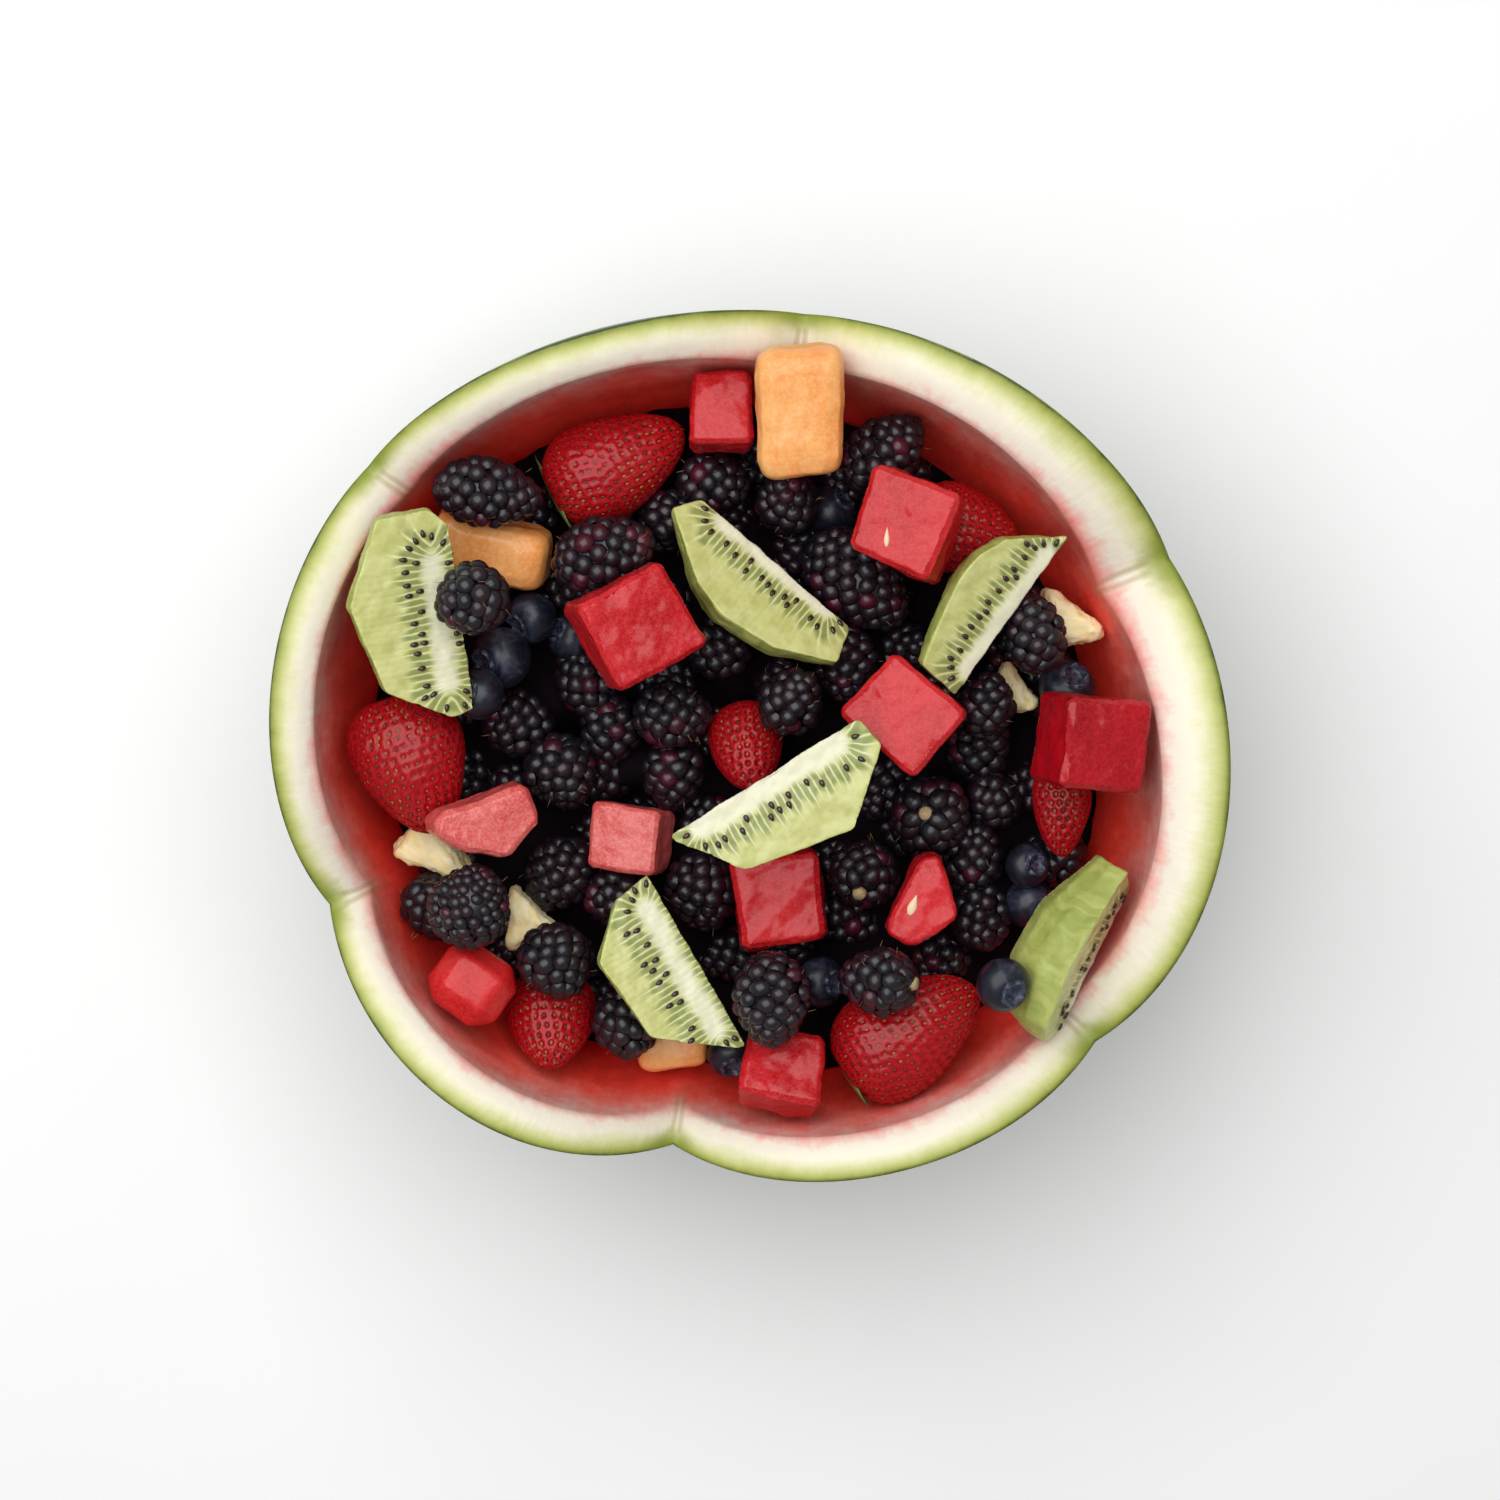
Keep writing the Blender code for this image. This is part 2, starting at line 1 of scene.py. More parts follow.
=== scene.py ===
# %% [markdown]
# # A fruit salad in a carved melon bowl
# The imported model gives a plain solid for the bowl, for the bed of loose berries and
# for every piece of fruit that lies on it. Here each of them gets its real surface:
# drupelets, seeds in dimples, torn flesh, the rays of a kiwi. The solids stay the
# measure of everything: a piece of fruit takes its place, its direction and its size
# from the solid that it stands for.

# %% Load the frame
import random
from math import atan2, ceil, cos, degrees, exp, hypot, pi, radians, sin, sqrt, tau

import bmesh
import bpy
import numpy as np
from mathutils import Matrix, Vector, noise
from mathutils.bvhtree import BVHTree
from mathutils.kdtree import KDTree


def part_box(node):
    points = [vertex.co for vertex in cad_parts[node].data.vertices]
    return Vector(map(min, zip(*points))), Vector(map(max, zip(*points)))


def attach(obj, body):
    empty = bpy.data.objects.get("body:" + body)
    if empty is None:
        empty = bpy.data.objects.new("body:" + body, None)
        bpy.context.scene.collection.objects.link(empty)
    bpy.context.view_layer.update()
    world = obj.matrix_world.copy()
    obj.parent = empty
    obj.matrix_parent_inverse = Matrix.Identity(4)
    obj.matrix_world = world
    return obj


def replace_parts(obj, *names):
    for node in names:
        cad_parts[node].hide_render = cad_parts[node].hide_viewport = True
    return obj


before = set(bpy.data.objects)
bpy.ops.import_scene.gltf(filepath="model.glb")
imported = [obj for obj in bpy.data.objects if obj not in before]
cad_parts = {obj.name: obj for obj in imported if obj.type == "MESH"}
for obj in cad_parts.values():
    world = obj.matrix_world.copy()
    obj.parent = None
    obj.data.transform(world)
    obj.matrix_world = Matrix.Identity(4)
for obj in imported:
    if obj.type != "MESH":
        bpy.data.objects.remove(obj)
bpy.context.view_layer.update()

MM = 0.001
nodes_of = {}
for name in sorted(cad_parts):
    nodes_of.setdefault(name.rstrip("0123456789").rstrip("_"), []).append(name)
print({kind: len(names) for kind, names in nodes_of.items()})

# %% [markdown]
# ## Camera, table and light
# The salad is looked at from straight above, so only the rim, the upper wall of the
# bowl and the fruit show. A long lens keeps the rim from hiding the wall. A window-like
# soft light hangs over it, a little to the far left: it gives each round berry one broad
# highlight, and lets the gaps between the fruit fall into deep shade. A weak even light
# from all round keeps those gaps from going fully black.

# %% Camera
CAMERA_HEIGHT = 1.1             # above the rim
CAMERA_TILT = 4                 # degrees off the plumb line
RIM_HEIGHT = 0.126

scene = bpy.context.scene
lens = bpy.data.cameras.new("camera")
lens.lens = 96
lens.sensor_width = 36
camera = bpy.data.objects.new("camera", lens)
camera.location = (0, CAMERA_HEIGHT * sin(radians(CAMERA_TILT)), RIM_HEIGHT + CAMERA_HEIGHT)
camera.rotation_euler = (radians(-CAMERA_TILT), 0, 0)
scene.collection.objects.link(camera)
scene.camera = camera
scene.view_settings.view_transform = "Standard"

# %% Soft light
SOFT_LIGHT = 15.5               # watts
SOFT_LIGHT_SIZE = 1.35
SOFT_LIGHT_PLACE = Vector((-0.22, 0.34, 1.15))
ROUND_LIGHT = 0.34

lamp = bpy.data.lights.new("window", "AREA")
lamp.energy = SOFT_LIGHT
lamp.size = SOFT_LIGHT_SIZE
window = bpy.data.objects.new("window", lamp)
window.location = SOFT_LIGHT_PLACE
window.rotation_euler = (-SOFT_LIGHT_PLACE).to_track_quat("-Z", "Y").to_euler()
scene.collection.objects.link(window)

scene.world = bpy.data.worlds.new("room")
scene.world.use_nodes = True
room = scene.world.node_tree.nodes["Background"]
room.inputs["Color"].default_value = (1, 1, 1, 1)
room.inputs["Strength"].default_value = ROUND_LIGHT

# %% [markdown]
# ## Tools for finishes
# A finish is a small tree of shader nodes. These helpers keep the later cells short: one
# adds a node and plugs its sockets, and the others do sums, blend two colours or lay a
# row of colours along a value. Colours are written as a paint chart gives them, from
# 0 to 255, and turned into the linear values that light is reckoned with.

# %% Shader helpers
def paint(red, green, blue):
    """A paint-chart colour in linear light, with full alpha."""
    def linear(value):
        share = value / 255
        return share / 12.92 if share <= 0.04045 else ((share + 0.055) / 1.055) ** 2.4
    return (linear(red), linear(green), linear(blue), 1)


def plug(tree, socket, value):
    if isinstance(value, bpy.types.NodeSocket):
        tree.links.new(value, socket)
    else:
        socket.default_value = value


def add(tree, kind, **values):
    """A shader node. Names with a capital are its sockets, the others its settings."""
    made = tree.nodes.new("ShaderNode" + kind)
    for name, value in values.items():
        if name[0].islower():
            setattr(made, name, value)
    for name, value in values.items():
        if name[0].isupper():
            plug(tree, made.inputs[name.replace("_", " ")], value)
    return made


def sums(tree, operation, *values):
    made = add(tree, "Math", operation=operation)
    for socket, value in zip(made.inputs, values):
        plug(tree, socket, value)
    return made.outputs["Value"]


def blend(tree, share, first, second, way="MIX"):
    made = add(tree, "Mix", data_type="RGBA", blend_type=way)
    for socket, value in ((0, share), (6, first), (7, second)):
        plug(tree, made.inputs[socket], value)
    return made.outputs[2]


def spread(tree, value, low, high, first=0.0, last=1.0):
    """The value as it runs from low to high, given as first to last."""
    made = add(tree, "MapRange", interpolation_type="SMOOTHSTEP", Value=value)
    for socket, number in (("From Min", low), ("From Max", high), ("To Min", first), ("To Max", last)):
        made.inputs[socket].default_value = number
    return made.outputs["Result"]


def colours_along(tree, value, *stops):
    """Colours laid along a value from 0 to 1, as (place, colour)."""
    made = add(tree, "ValToRGB", Fac=value)
    elements = made.color_ramp.elements
    elements[0].position, elements[0].color = stops[0]
    elements[1].position, elements[1].color = stops[-1]
    for place, colour in stops[1:-1]:
        elements.new(place).color = colour
    return made.outputs["Color"]


def stored(tree, name, output="Fac"):
    return add(tree, "Attribute", attribute_name=name).outputs[output]


def place_on(tree):
    return add(tree, "TexCoord").outputs["Object"]


def clouds(tree, vector, scale, detail=3.0, roughness=0.55, distortion=0.0):
    return add(tree, "TexNoise", Vector=vector, Scale=scale, Detail=detail, Roughness=roughness,
               Distortion=distortion).outputs["Fac"]


def stretched(tree, vector, *sizes):
    return add(tree, "Mapping", Vector=vector, Scale=sizes).outputs["Vector"]


def new_finish(name, **constants):
    """A material, its tree and its shader. Constants go straight onto the shader's sockets."""
    material = bpy.data.materials.new(name)
    material.use_nodes = True
    tree = material.node_tree
    shader = tree.nodes["Principled BSDF"]
    for socket, value in constants.items():
        shader.inputs[socket.replace("_", " ")].default_value = value
    return material, tree, shader


def raise_surface(tree, shader, height, strength, distance, wider=None):
    """Bump from a height. A second, wider height may lie under it."""
    bump = add(tree, "Bump", Height=height, Strength=strength, Distance=distance)
    if wider is not None:
        under = add(tree, "Bump", Height=wider, Strength=strength, Distance=distance * 2)
        tree.links.new(under.outputs["Normal"], bump.inputs["Normal"])
    tree.links.new(bump.outputs["Normal"], shader.inputs["Normal"])

# %% [markdown]
# ## Shared grain of cut fruit
# Cut melon, kiwi and pineapple all show the same wet grain: small swollen cells with
# fine pits between them. It is made once, as a node group that gives a height, and each
# fruit asks for its own size of cell. A group keeps the recipe in one place, where a
# copy in every material would soon differ.

# %% Wet grain
grain_group = bpy.data.node_groups.new("wet grain", "ShaderNodeTree")
grain_group.interface.new_socket("Cells", in_out="INPUT", socket_type="NodeSocketFloat")
grain_group.interface.new_socket("Height", in_out="OUTPUT", socket_type="NodeSocketFloat")
cells_in = grain_group.nodes.new("NodeGroupInput").outputs["Cells"]
grain_out = grain_group.nodes.new("NodeGroupOutput")
swollen = add(grain_group, "TexVoronoi", feature="SMOOTH_F1", Vector=place_on(grain_group),
              Scale=cells_in).outputs["Distance"]
pitted = clouds(grain_group, place_on(grain_group), sums(grain_group, "MULTIPLY", cells_in, 0.45), 5.0, 0.7)
grain_group.links.new(sums(grain_group, "SUBTRACT", pitted, sums(grain_group, "MULTIPLY", swollen, 0.6)),
                      grain_out.inputs["Height"])


def wet_grain(tree, cells):
    group = tree.nodes.new("ShaderNodeGroup")
    group.node_tree = grain_group
    group.inputs["Cells"].default_value = cells
    return group.outputs["Height"]


print("grain group:", len(grain_group.nodes), "nodes")

# %% [markdown]
# ## Tools for shapes
# Every piece is built in a bmesh and then becomes an object that rides with the bowl and
# replaces its solid. A copy of a solid comes as loose triangles, so its points are
# merged first. `refine` halves long edges until the skin is fine enough to be worn,
# and `roughen` then pushes its points in and out with a noise, as a knife and a spoon do.

# %% Shape helpers
def finish_piece(name, bm, materials, stands_for=()):
    mesh = bpy.data.meshes.new(name)
    bm.to_mesh(mesh)
    bm.free()
    for material in materials:
        mesh.materials.append(material)
    mesh.shade_smooth()
    piece = bpy.data.objects.new(name, mesh)
    scene.collection.objects.link(piece)
    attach(piece, "root")
    if stands_for:
        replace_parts(piece, *stands_for)
    return piece


def solid_copy(node):
    bm = bmesh.new()
    bm.from_mesh(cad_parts[node].data)
    bmesh.ops.remove_doubles(bm, verts=bm.verts, dist=0.02 * MM)
    return bm


def solid_tree(node):
    bm = solid_copy(node)
    tree = BVHTree.FromBMesh(bm)
    bm.free()
    return tree


def refine(bm, longest):
    """Halve every edge that is longer than this, until none is."""
    while True:
        long_edges = [edge for edge in bm.edges if edge.calc_length() > longest]
        if not long_edges:
            break
        bmesh.ops.subdivide_edges(bm, edges=long_edges, cuts=1, use_grid_fill=True, use_single_edge=True)
        bmesh.ops.triangulate(bm, faces=bm.faces)


def soften(bm, times):
    for _ in range(times):
        bmesh.ops.smooth_vert(bm, verts=bm.verts, factor=0.5, use_axis_x=True, use_axis_y=True,
                              use_axis_z=True)


def roughen(bm, depth, size, seed, inward=0.5):
    """Push each point along its normal by a noise of this depth and size, in mm."""
    bm.normal_update()
    shift = Vector((seed * 7.3, seed * 3.1, seed * 1.7))
    for vert in bm.verts:
        wave = noise.fractal(vert.co / (size * MM) + shift, 1.0, 2.0, 3)
        vert.co += vert.normal * depth * MM * (wave - inward)


def spread_of(points):
    """Middle, directions and lengths of a cloud of points, the longest direction first."""
    cloud = np.array([point[:] for point in points])
    middle = cloud.mean(axis=0)
    _, directions = np.linalg.eigh(np.cov((cloud - middle).T))
    directions = directions[:, ::-1]
    along = (cloud - middle) @ directions
    low, high = along.min(axis=0), along.max(axis=0)
    middle = middle + directions @ ((low + high) / 2)
    return Vector(middle), [Vector(directions[:, axis]) for axis in range(3)], high - low


def placed_at(middle, forward, side):
    """The matrix that takes a piece made along +X to its place and direction."""
    up = forward.cross(side).normalized()
    side = up.cross(forward).normalized()
    turn = Matrix((forward, side, up)).transposed().to_4x4()
    return Matrix.Translation(middle) @ turn


def corners_where(bm, made, index):
    """Give the faces of newly made points another material slot."""
    for face in {face for vert in made for face in vert.link_faces}:
        face.material_index = index


print("shape helpers ready")

# %% [markdown]
# ## The melon bowl
# The bowl is half a watermelon: a green skin, a hard pale rind and red flesh that was
# scooped out. Its rim is cut in six petals. Subdividing the plain solid would round off
# the sharp edge of the skin and the creases between the petals, so the wall's section is
# drawn again from the same sizes, closer together, and a grid is rolled up round it. Each
# point also keeps how far it lies into the rind, counted so that 1 is where the pink
# begins: the colours hang on that number and follow the wall wherever it is thick.

# %% Sizes of the melon, as in the solid
BODY_LONG = 134.6 * MM
BODY_SHORT = 120.8 * MM
BODY_HEADING = 165
FLAT_SHARE = 0.28
EQUATOR_Z = 121 * MM
EQUATOR_SLOPE = 0.105
CREST_Z = 126 * MM
CUT_SLOPE = 0.13
THIN_WALL = 12 * MM
EXTRA_WALL = 7.5 * MM
THICK_HEADING = 20
THICK_BELOW = 0.4
CAVITY_FLOOR = 32 * MM
CAVITY_POWER = 2.9
PETAL_POWER = 2.2
VALLEYS = ((24, 20, 2.6), (83, 20, -1.5), (144, 20, -0.5), (201, 22, 7.0), (259, 27, 0.5), (319, 22, -1.2))

PETAL_COLUMNS = 56
SKIN_ROWS = 26
CUT_ROWS = 12
WALL_ROWS = 34
WITHIN_SOLID = 0.9985           # the finer skin bulges out between the solid's corners
PINK_FROM = 1.7 * MM           # how far past the cut face the pink begins
PINK_SWELL = 1.6 * MM           # and how much farther in the middle of a petal


def ellipse_radius(heading):
    turned = radians(heading - BODY_HEADING)
    return BODY_LONG * BODY_SHORT / hypot(BODY_SHORT * cos(turned), BODY_LONG * sin(turned))


def wall_width(heading, depth=0):
    towards_thick_side = 0.5 + 0.5 * cos(radians(heading - THICK_HEADING))
    return THIN_WALL + EXTRA_WALL * towards_thick_side ** 4 * (1 + THICK_BELOW * depth)


def rim_at(column):
    petal, step = divmod(column, PETAL_COLUMNS)
    share = step / PETAL_COLUMNS
    start, depth_before, swelling = VALLEYS[petal]
    end, depth_after, _ = VALLEYS[(petal + 1) % len(VALLEYS)]
    across = 2 * share - 1
    depth = depth_before if across < 0 else depth_after
    return (start + (end - start) % 360 * share, CREST_Z - depth * MM * abs(across) ** PETAL_POWER,
            swelling * MM * sin(pi * share), share)


def body_radius(heading, height, swelling):
    widest = ellipse_radius(heading) + swelling
    below = 1 - height / (EQUATOR_Z - EQUATOR_SLOPE * widest * sin(radians(heading)))
    return widest * sqrt(1 - (1 - FLAT_SHARE ** 2) * below ** 2) * WITHIN_SOLID


def cavity_radius(heading, height, swelling):
    depth = min(max((CREST_Z - height) / (CREST_Z - CAVITY_FLOOR), 0), 1)
    return (ellipse_radius(heading) + swelling - wall_width(heading, depth)) * sqrt(1 - depth ** CAVITY_POWER)


def polar(heading, radius, height):
    return Vector((radius * cos(radians(heading)), radius * sin(radians(heading)), height))


print("the cut face is", round(wall_width(200) / MM, 1), "to", round(wall_width(20) / MM, 1), "mm wide")

# %% One section through the wall
SEEN_SLANT = 0.1                # how much of the wall's height counts as a way into the flesh
EDGE_ROUND = 6.0 * MM


def wall_section(column):
    """Points of the wall at one column, each with its share of the way to the pink."""
    heading, rim_z, swelling, share = rim_at(column)
    middle = solids_middle
    skin_edge = body_radius(heading, rim_z, swelling)
    inner_z = rim_z - CUT_SLOPE * wall_width(heading)
    inner_edge = cavity_radius(heading, inner_z, swelling)
    pink = wall_width(heading) + PINK_FROM + PINK_SWELL * sin(pi * share)
    section = [(Vector((0, 0, 0)) + middle, 0)]
    for row in range(SKIN_ROWS + 1):
        height = rim_z * (row / SKIN_ROWS) ** 1.35
        section.append((polar(heading, body_radius(heading, height, swelling), height) + middle, 0))
    for row in range(1, CUT_ROWS + 1):
        way = row / CUT_ROWS
        radius = skin_edge + (inner_edge - skin_edge) * way
        dip = EDGE_ROUND * max(0, way - 0.4) ** 2 / 0.6 ** 2 * 0.55
        wave = 0.35 * MM * noise.noise(polar(heading, radius, 0) / (9 * MM)) * sin(pi * way)
        height = rim_z + (inner_z - rim_z) * way - dip + wave
        section.append((polar(heading, radius, height) + middle,
                        (skin_edge - radius + SEEN_SLANT * (rim_z - height)) / pink))
    top_z = inner_z - EDGE_ROUND * 0.55
    for row in range(1, WALL_ROWS):
        way = (row / WALL_ROWS) ** 1.15
        height = top_z + (CAVITY_FLOOR - top_z) * sin(way * pi / 2)
        radius = cavity_radius(heading, height, swelling)
        scoop = 0.7 * MM * noise.noise(polar(heading, radius, height) / (14 * MM)) * min(1, 6 * way)
        section.append((polar(heading, radius + scoop, height) + middle,
                        (skin_edge - radius + SEEN_SLANT * (rim_z - height)) / pink))
    section.append((Vector((0, 0, CAVITY_FLOOR)) + middle, 2))
    return section


solids_middle = Vector((0, 0, 0))
columns = PETAL_COLUMNS * len(VALLEYS)
sections = [wall_section(column) for column in range(columns)]
reach = [point for section in sections for point, _ in section]
low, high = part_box("melon_bowl")
for axis in (0, 1):
    middle = (min(point[axis] for point in reach) + max(point[axis] for point in reach)) / 2
    solids_middle[axis] = (low[axis] + high[axis]) / 2 - middle
sections = [wall_section(column) for column in range(columns)]
print("the bowl's middle moves by", [round(value / MM, 2) for value in solids_middle], "mm")

# %% Roll the grid up into the bowl
rows = len(sections[0]) - 1
bm = bmesh.new()
bmesh.ops.create_grid(bm, x_segments=columns, y_segments=rows, size=0.5)
into = bm.verts.layers.float.new("into_rind")
beside = bm.verts.layers.float.new("beside_valley")
around = bm.verts.layers.float_vector.new("fibre_space")
for vert in bm.verts:
    column = round((vert.co.x + 0.5) * columns) % columns
    row = round((vert.co.y + 0.5) * rows)
    heading, rim_z, _, share = rim_at(column)
    point, vert[into] = sections[column][row]
    span = 58 * 2 * MM
    vert[beside] = min(share, 1 - share) * span / MM
    vert[around] = polar(heading, 115, 0) + Vector((0, 0, 18 * vert[into]))
    vert.co = point
for face in bm.faces:
    face.material_index = 1 if all(vert[into] == 0 for vert in face.verts) else 0
bmesh.ops.remove_doubles(bm, verts=bm.verts, dist=0.01 * MM)
bmesh.ops.recalc_face_normals(bm, faces=bm.faces)
print("bowl:", len(bm.faces), "faces")

# %% [markdown]
# ## Finishes of the bowl
# From the skin inwards the cut face runs from a thin dark line through yellow-green and
# cream to a pink blush and full red. The edges between these are never even: a noise that
# is drawn out along the fibres pushes them in and out. Where two petals meet, two brownish
# lines run along the crease, beside a deeper notch of green.

# %% Cut rind and flesh
rind, tree, shader = new_finish("cut_rind_and_flesh", Roughness=0.42, IOR=1.4)
fibres = stored(tree, "fibre_space", "Vector")
streaks = clouds(tree, stretched(tree, fibres, 0.7, 0.7, 0.14), 1.0, 4.0, 0.6)
patches = clouds(tree, stretched(tree, fibres, 0.05, 0.05, 0.06), 1.0, 2.0)
way_in = stored(tree, "into_rind")
wobble = sums(tree, "MULTIPLY_ADD", sums(tree, "SUBTRACT", streaks, 0.5), 0.15,
              sums(tree, "MULTIPLY", sums(tree, "SUBTRACT", patches, 0.5), 0.42))
mottled = sums(tree, "SUBTRACT", clouds(tree, place_on(tree), 170.0, 5.0, 0.65), 0.5)
uneven = sums(tree, "MULTIPLY_ADD", wobble, spread(tree, way_in, 0.02, 0.6, 0.15, 1.0), way_in)
uneven = sums(tree, "MULTIPLY_ADD", mottled, spread(tree, way_in, 0.02, 0.7, 0.08, 0.42), uneven)
flesh = colours_along(tree, sums(tree, "DIVIDE", uneven, 2.0),
                      (0.0, paint(72, 84, 36)), (0.012, paint(122, 132, 50)), (0.045, paint(168, 173, 86)),
                      (0.09, paint(200, 203, 130)), (0.15, paint(227, 225, 180)), (0.22, paint(241, 235, 212)),
                      (0.33, paint(241, 231, 214)), (0.38, paint(240, 206, 192)),
                      (0.44, paint(242, 172, 162)), (0.50, paint(246, 134, 122)),
                      (0.58, paint(246, 98, 84)), (0.68, paint(242, 66, 52)), (1.0, paint(206, 20, 14)))
valley = stored(tree, "beside_valley")
wavering = sums(tree, "MULTIPLY_ADD", sums(tree, "SUBTRACT", patches, 0.5), 2.0, valley)
# Two brownish lines along the crease where two petals meet, on the pale rind
crease_lines = spread(tree, sums(tree, "ABSOLUTE", sums(tree, "SUBTRACT", wavering, 1.1)), 1.3, 0.1)
on_pale_rind = sums(tree, "MULTIPLY", spread(tree, uneven, 0.2, 0.34), spread(tree, uneven, 1.25, 0.9))
flesh = blend(tree, sums(tree, "MULTIPLY", sums(tree, "MULTIPLY", crease_lines, on_pale_rind), 0.50),
              flesh, paint(166, 142, 86))
green_notch = sums(tree, "MULTIPLY", spread(tree, valley, 11.0, 1.0), spread(tree, uneven, 0.55, 0.05))
flesh = blend(tree, sums(tree, "MULTIPLY", green_notch, 0.75), flesh, paint(128, 142, 44))
speck = spread(tree, add(tree, "TexVoronoi", Vector=place_on(tree), Scale=75.0).outputs["Distance"], 0.06, 0.03)
speck = sums(tree, "MULTIPLY", speck, spread(tree, clouds(tree, place_on(tree), 31.0, 1.0), 0.60, 0.66))
flesh = blend(tree, sums(tree, "MULTIPLY", speck, 0.6), flesh, paint(132, 96, 52))
mottle = spread(tree, clouds(tree, place_on(tree), 240.0, 4.0, 0.7), 0.35, 0.7, 0.88, 1.06)
flesh = blend(tree, spread(tree, uneven, 0.9, 1.3, 0.15, 0.9), flesh,
              blend(tree, 1.0, flesh, add(tree, "CombineColor", Red=mottle, Green=mottle, Blue=mottle).outputs["Color"],
                    "MULTIPLY"))
tree.links.new(flesh, shader.inputs["Base Color"])
raise_surface(tree, shader, wet_grain(tree, 420.0), 0.2, 0.4 * MM, streaks)
print("cut rind:", len(tree.nodes), "nodes")

# %% [markdown]
# The skin hides under the rim from above, but shows from every side: a dark green melon
# with paler, ragged stripes that run from the rim down to the middle underneath. The
# stripes are a wave round the axis, bent by noise and torn at their edges by a finer one.

# %% Striped skin
skin, tree, shader = new_finish("striped_skin", Roughness=0.38, IOR=1.45, Coat_Weight=0.12, Coat_Roughness=0.3)
place = place_on(tree)
apart = add(tree, "SeparateXYZ", Vector=place)
turn = sums(tree, "ARCTAN2", apart.outputs["Y"], apart.outputs["X"])
sway = sums(tree, "SUBTRACT", clouds(tree, place, 16.0, 3.0), 0.5)
tear = sums(tree, "SUBTRACT", clouds(tree, stretched(tree, place, 1, 1, 0.45), 110.0, 4.0, 0.7), 0.5)
bent = sums(tree, "MULTIPLY_ADD", sway, 1.1, sums(tree, "MULTIPLY_ADD", tear, 0.35, turn))
stripe = sums(tree, "SINE", sums(tree, "MULTIPLY", bent, 13.0))
dark_skin = blend(tree, clouds(tree, place, 60.0), paint(38, 62, 24), paint(58, 84, 34))
pale_skin = blend(tree, clouds(tree, place, 85.0, 4.0, 0.7), paint(96, 120, 56), paint(150, 164, 92))
green = blend(tree, spread(tree, stripe, -0.05, 0.75), dark_skin, pale_skin)
tree.links.new(green, shader.inputs["Base Color"])
raise_surface(tree, shader, clouds(tree, place, 130.0, 3.0), 0.08, 0.6 * MM)

finish_piece("melon_bowl_carved", bm, (rind, skin), ["melon_bowl"])
print("skin:", len(tree.nodes), "nodes")

# %% [markdown]
# ## Brambles
# A bramble is a bunch of small shining drupelets packed round a pale plug. Each drupelet is
# an icosphere without its hidden half. They are set along a spiral that turns by the golden
# angle from the stalk to the tip, which packs them as evenly as the plant does, and each
# one is turned to look outwards, a little larger or longer than the next. A displaced
# sphere would be quicker, but its creases are never as deep and black as these. Round the
# stalk the drupelets are drawn out like petals, and the plug shows as a beige disc.

# %% One drupelet and the dark inside
GOLDEN_TURN = pi * (3 - sqrt(5))


def drupelet_cap(detail, cut_below):
    """An icosphere without the part that its neighbours hide."""
    bm = bmesh.new()
    bmesh.ops.create_icosphere(bm, subdivisions=detail, radius=1)
    bmesh.ops.delete(bm, geom=[vert for vert in bm.verts if vert.co.z < cut_below], context="VERTS")
    mesh = bpy.data.meshes.new("drupelet")
    bm.to_mesh(mesh)
    bm.free()
    return mesh


drupelet = drupelet_cap(2, -0.35)
print("a drupelet has", len(drupelet.polygons), "faces")


def stamp(bm, mesh, matrix, layer=None, value=0.0):
    """Add a copy of a mesh at a place, and give its points a value."""
    mesh.transform(matrix)
    before = len(bm.verts)
    bm.from_mesh(mesh)
    mesh.transform(matrix.inverted())
    bm.verts.ensure_lookup_table()
    if layer is not None:
        for index in range(before, len(bm.verts)):
            bm.verts[index][layer] = value

# %% A whole bramble
DRUPELET_PITCH = 6.1 * MM
STALK_PLUG = 2.3 * MM


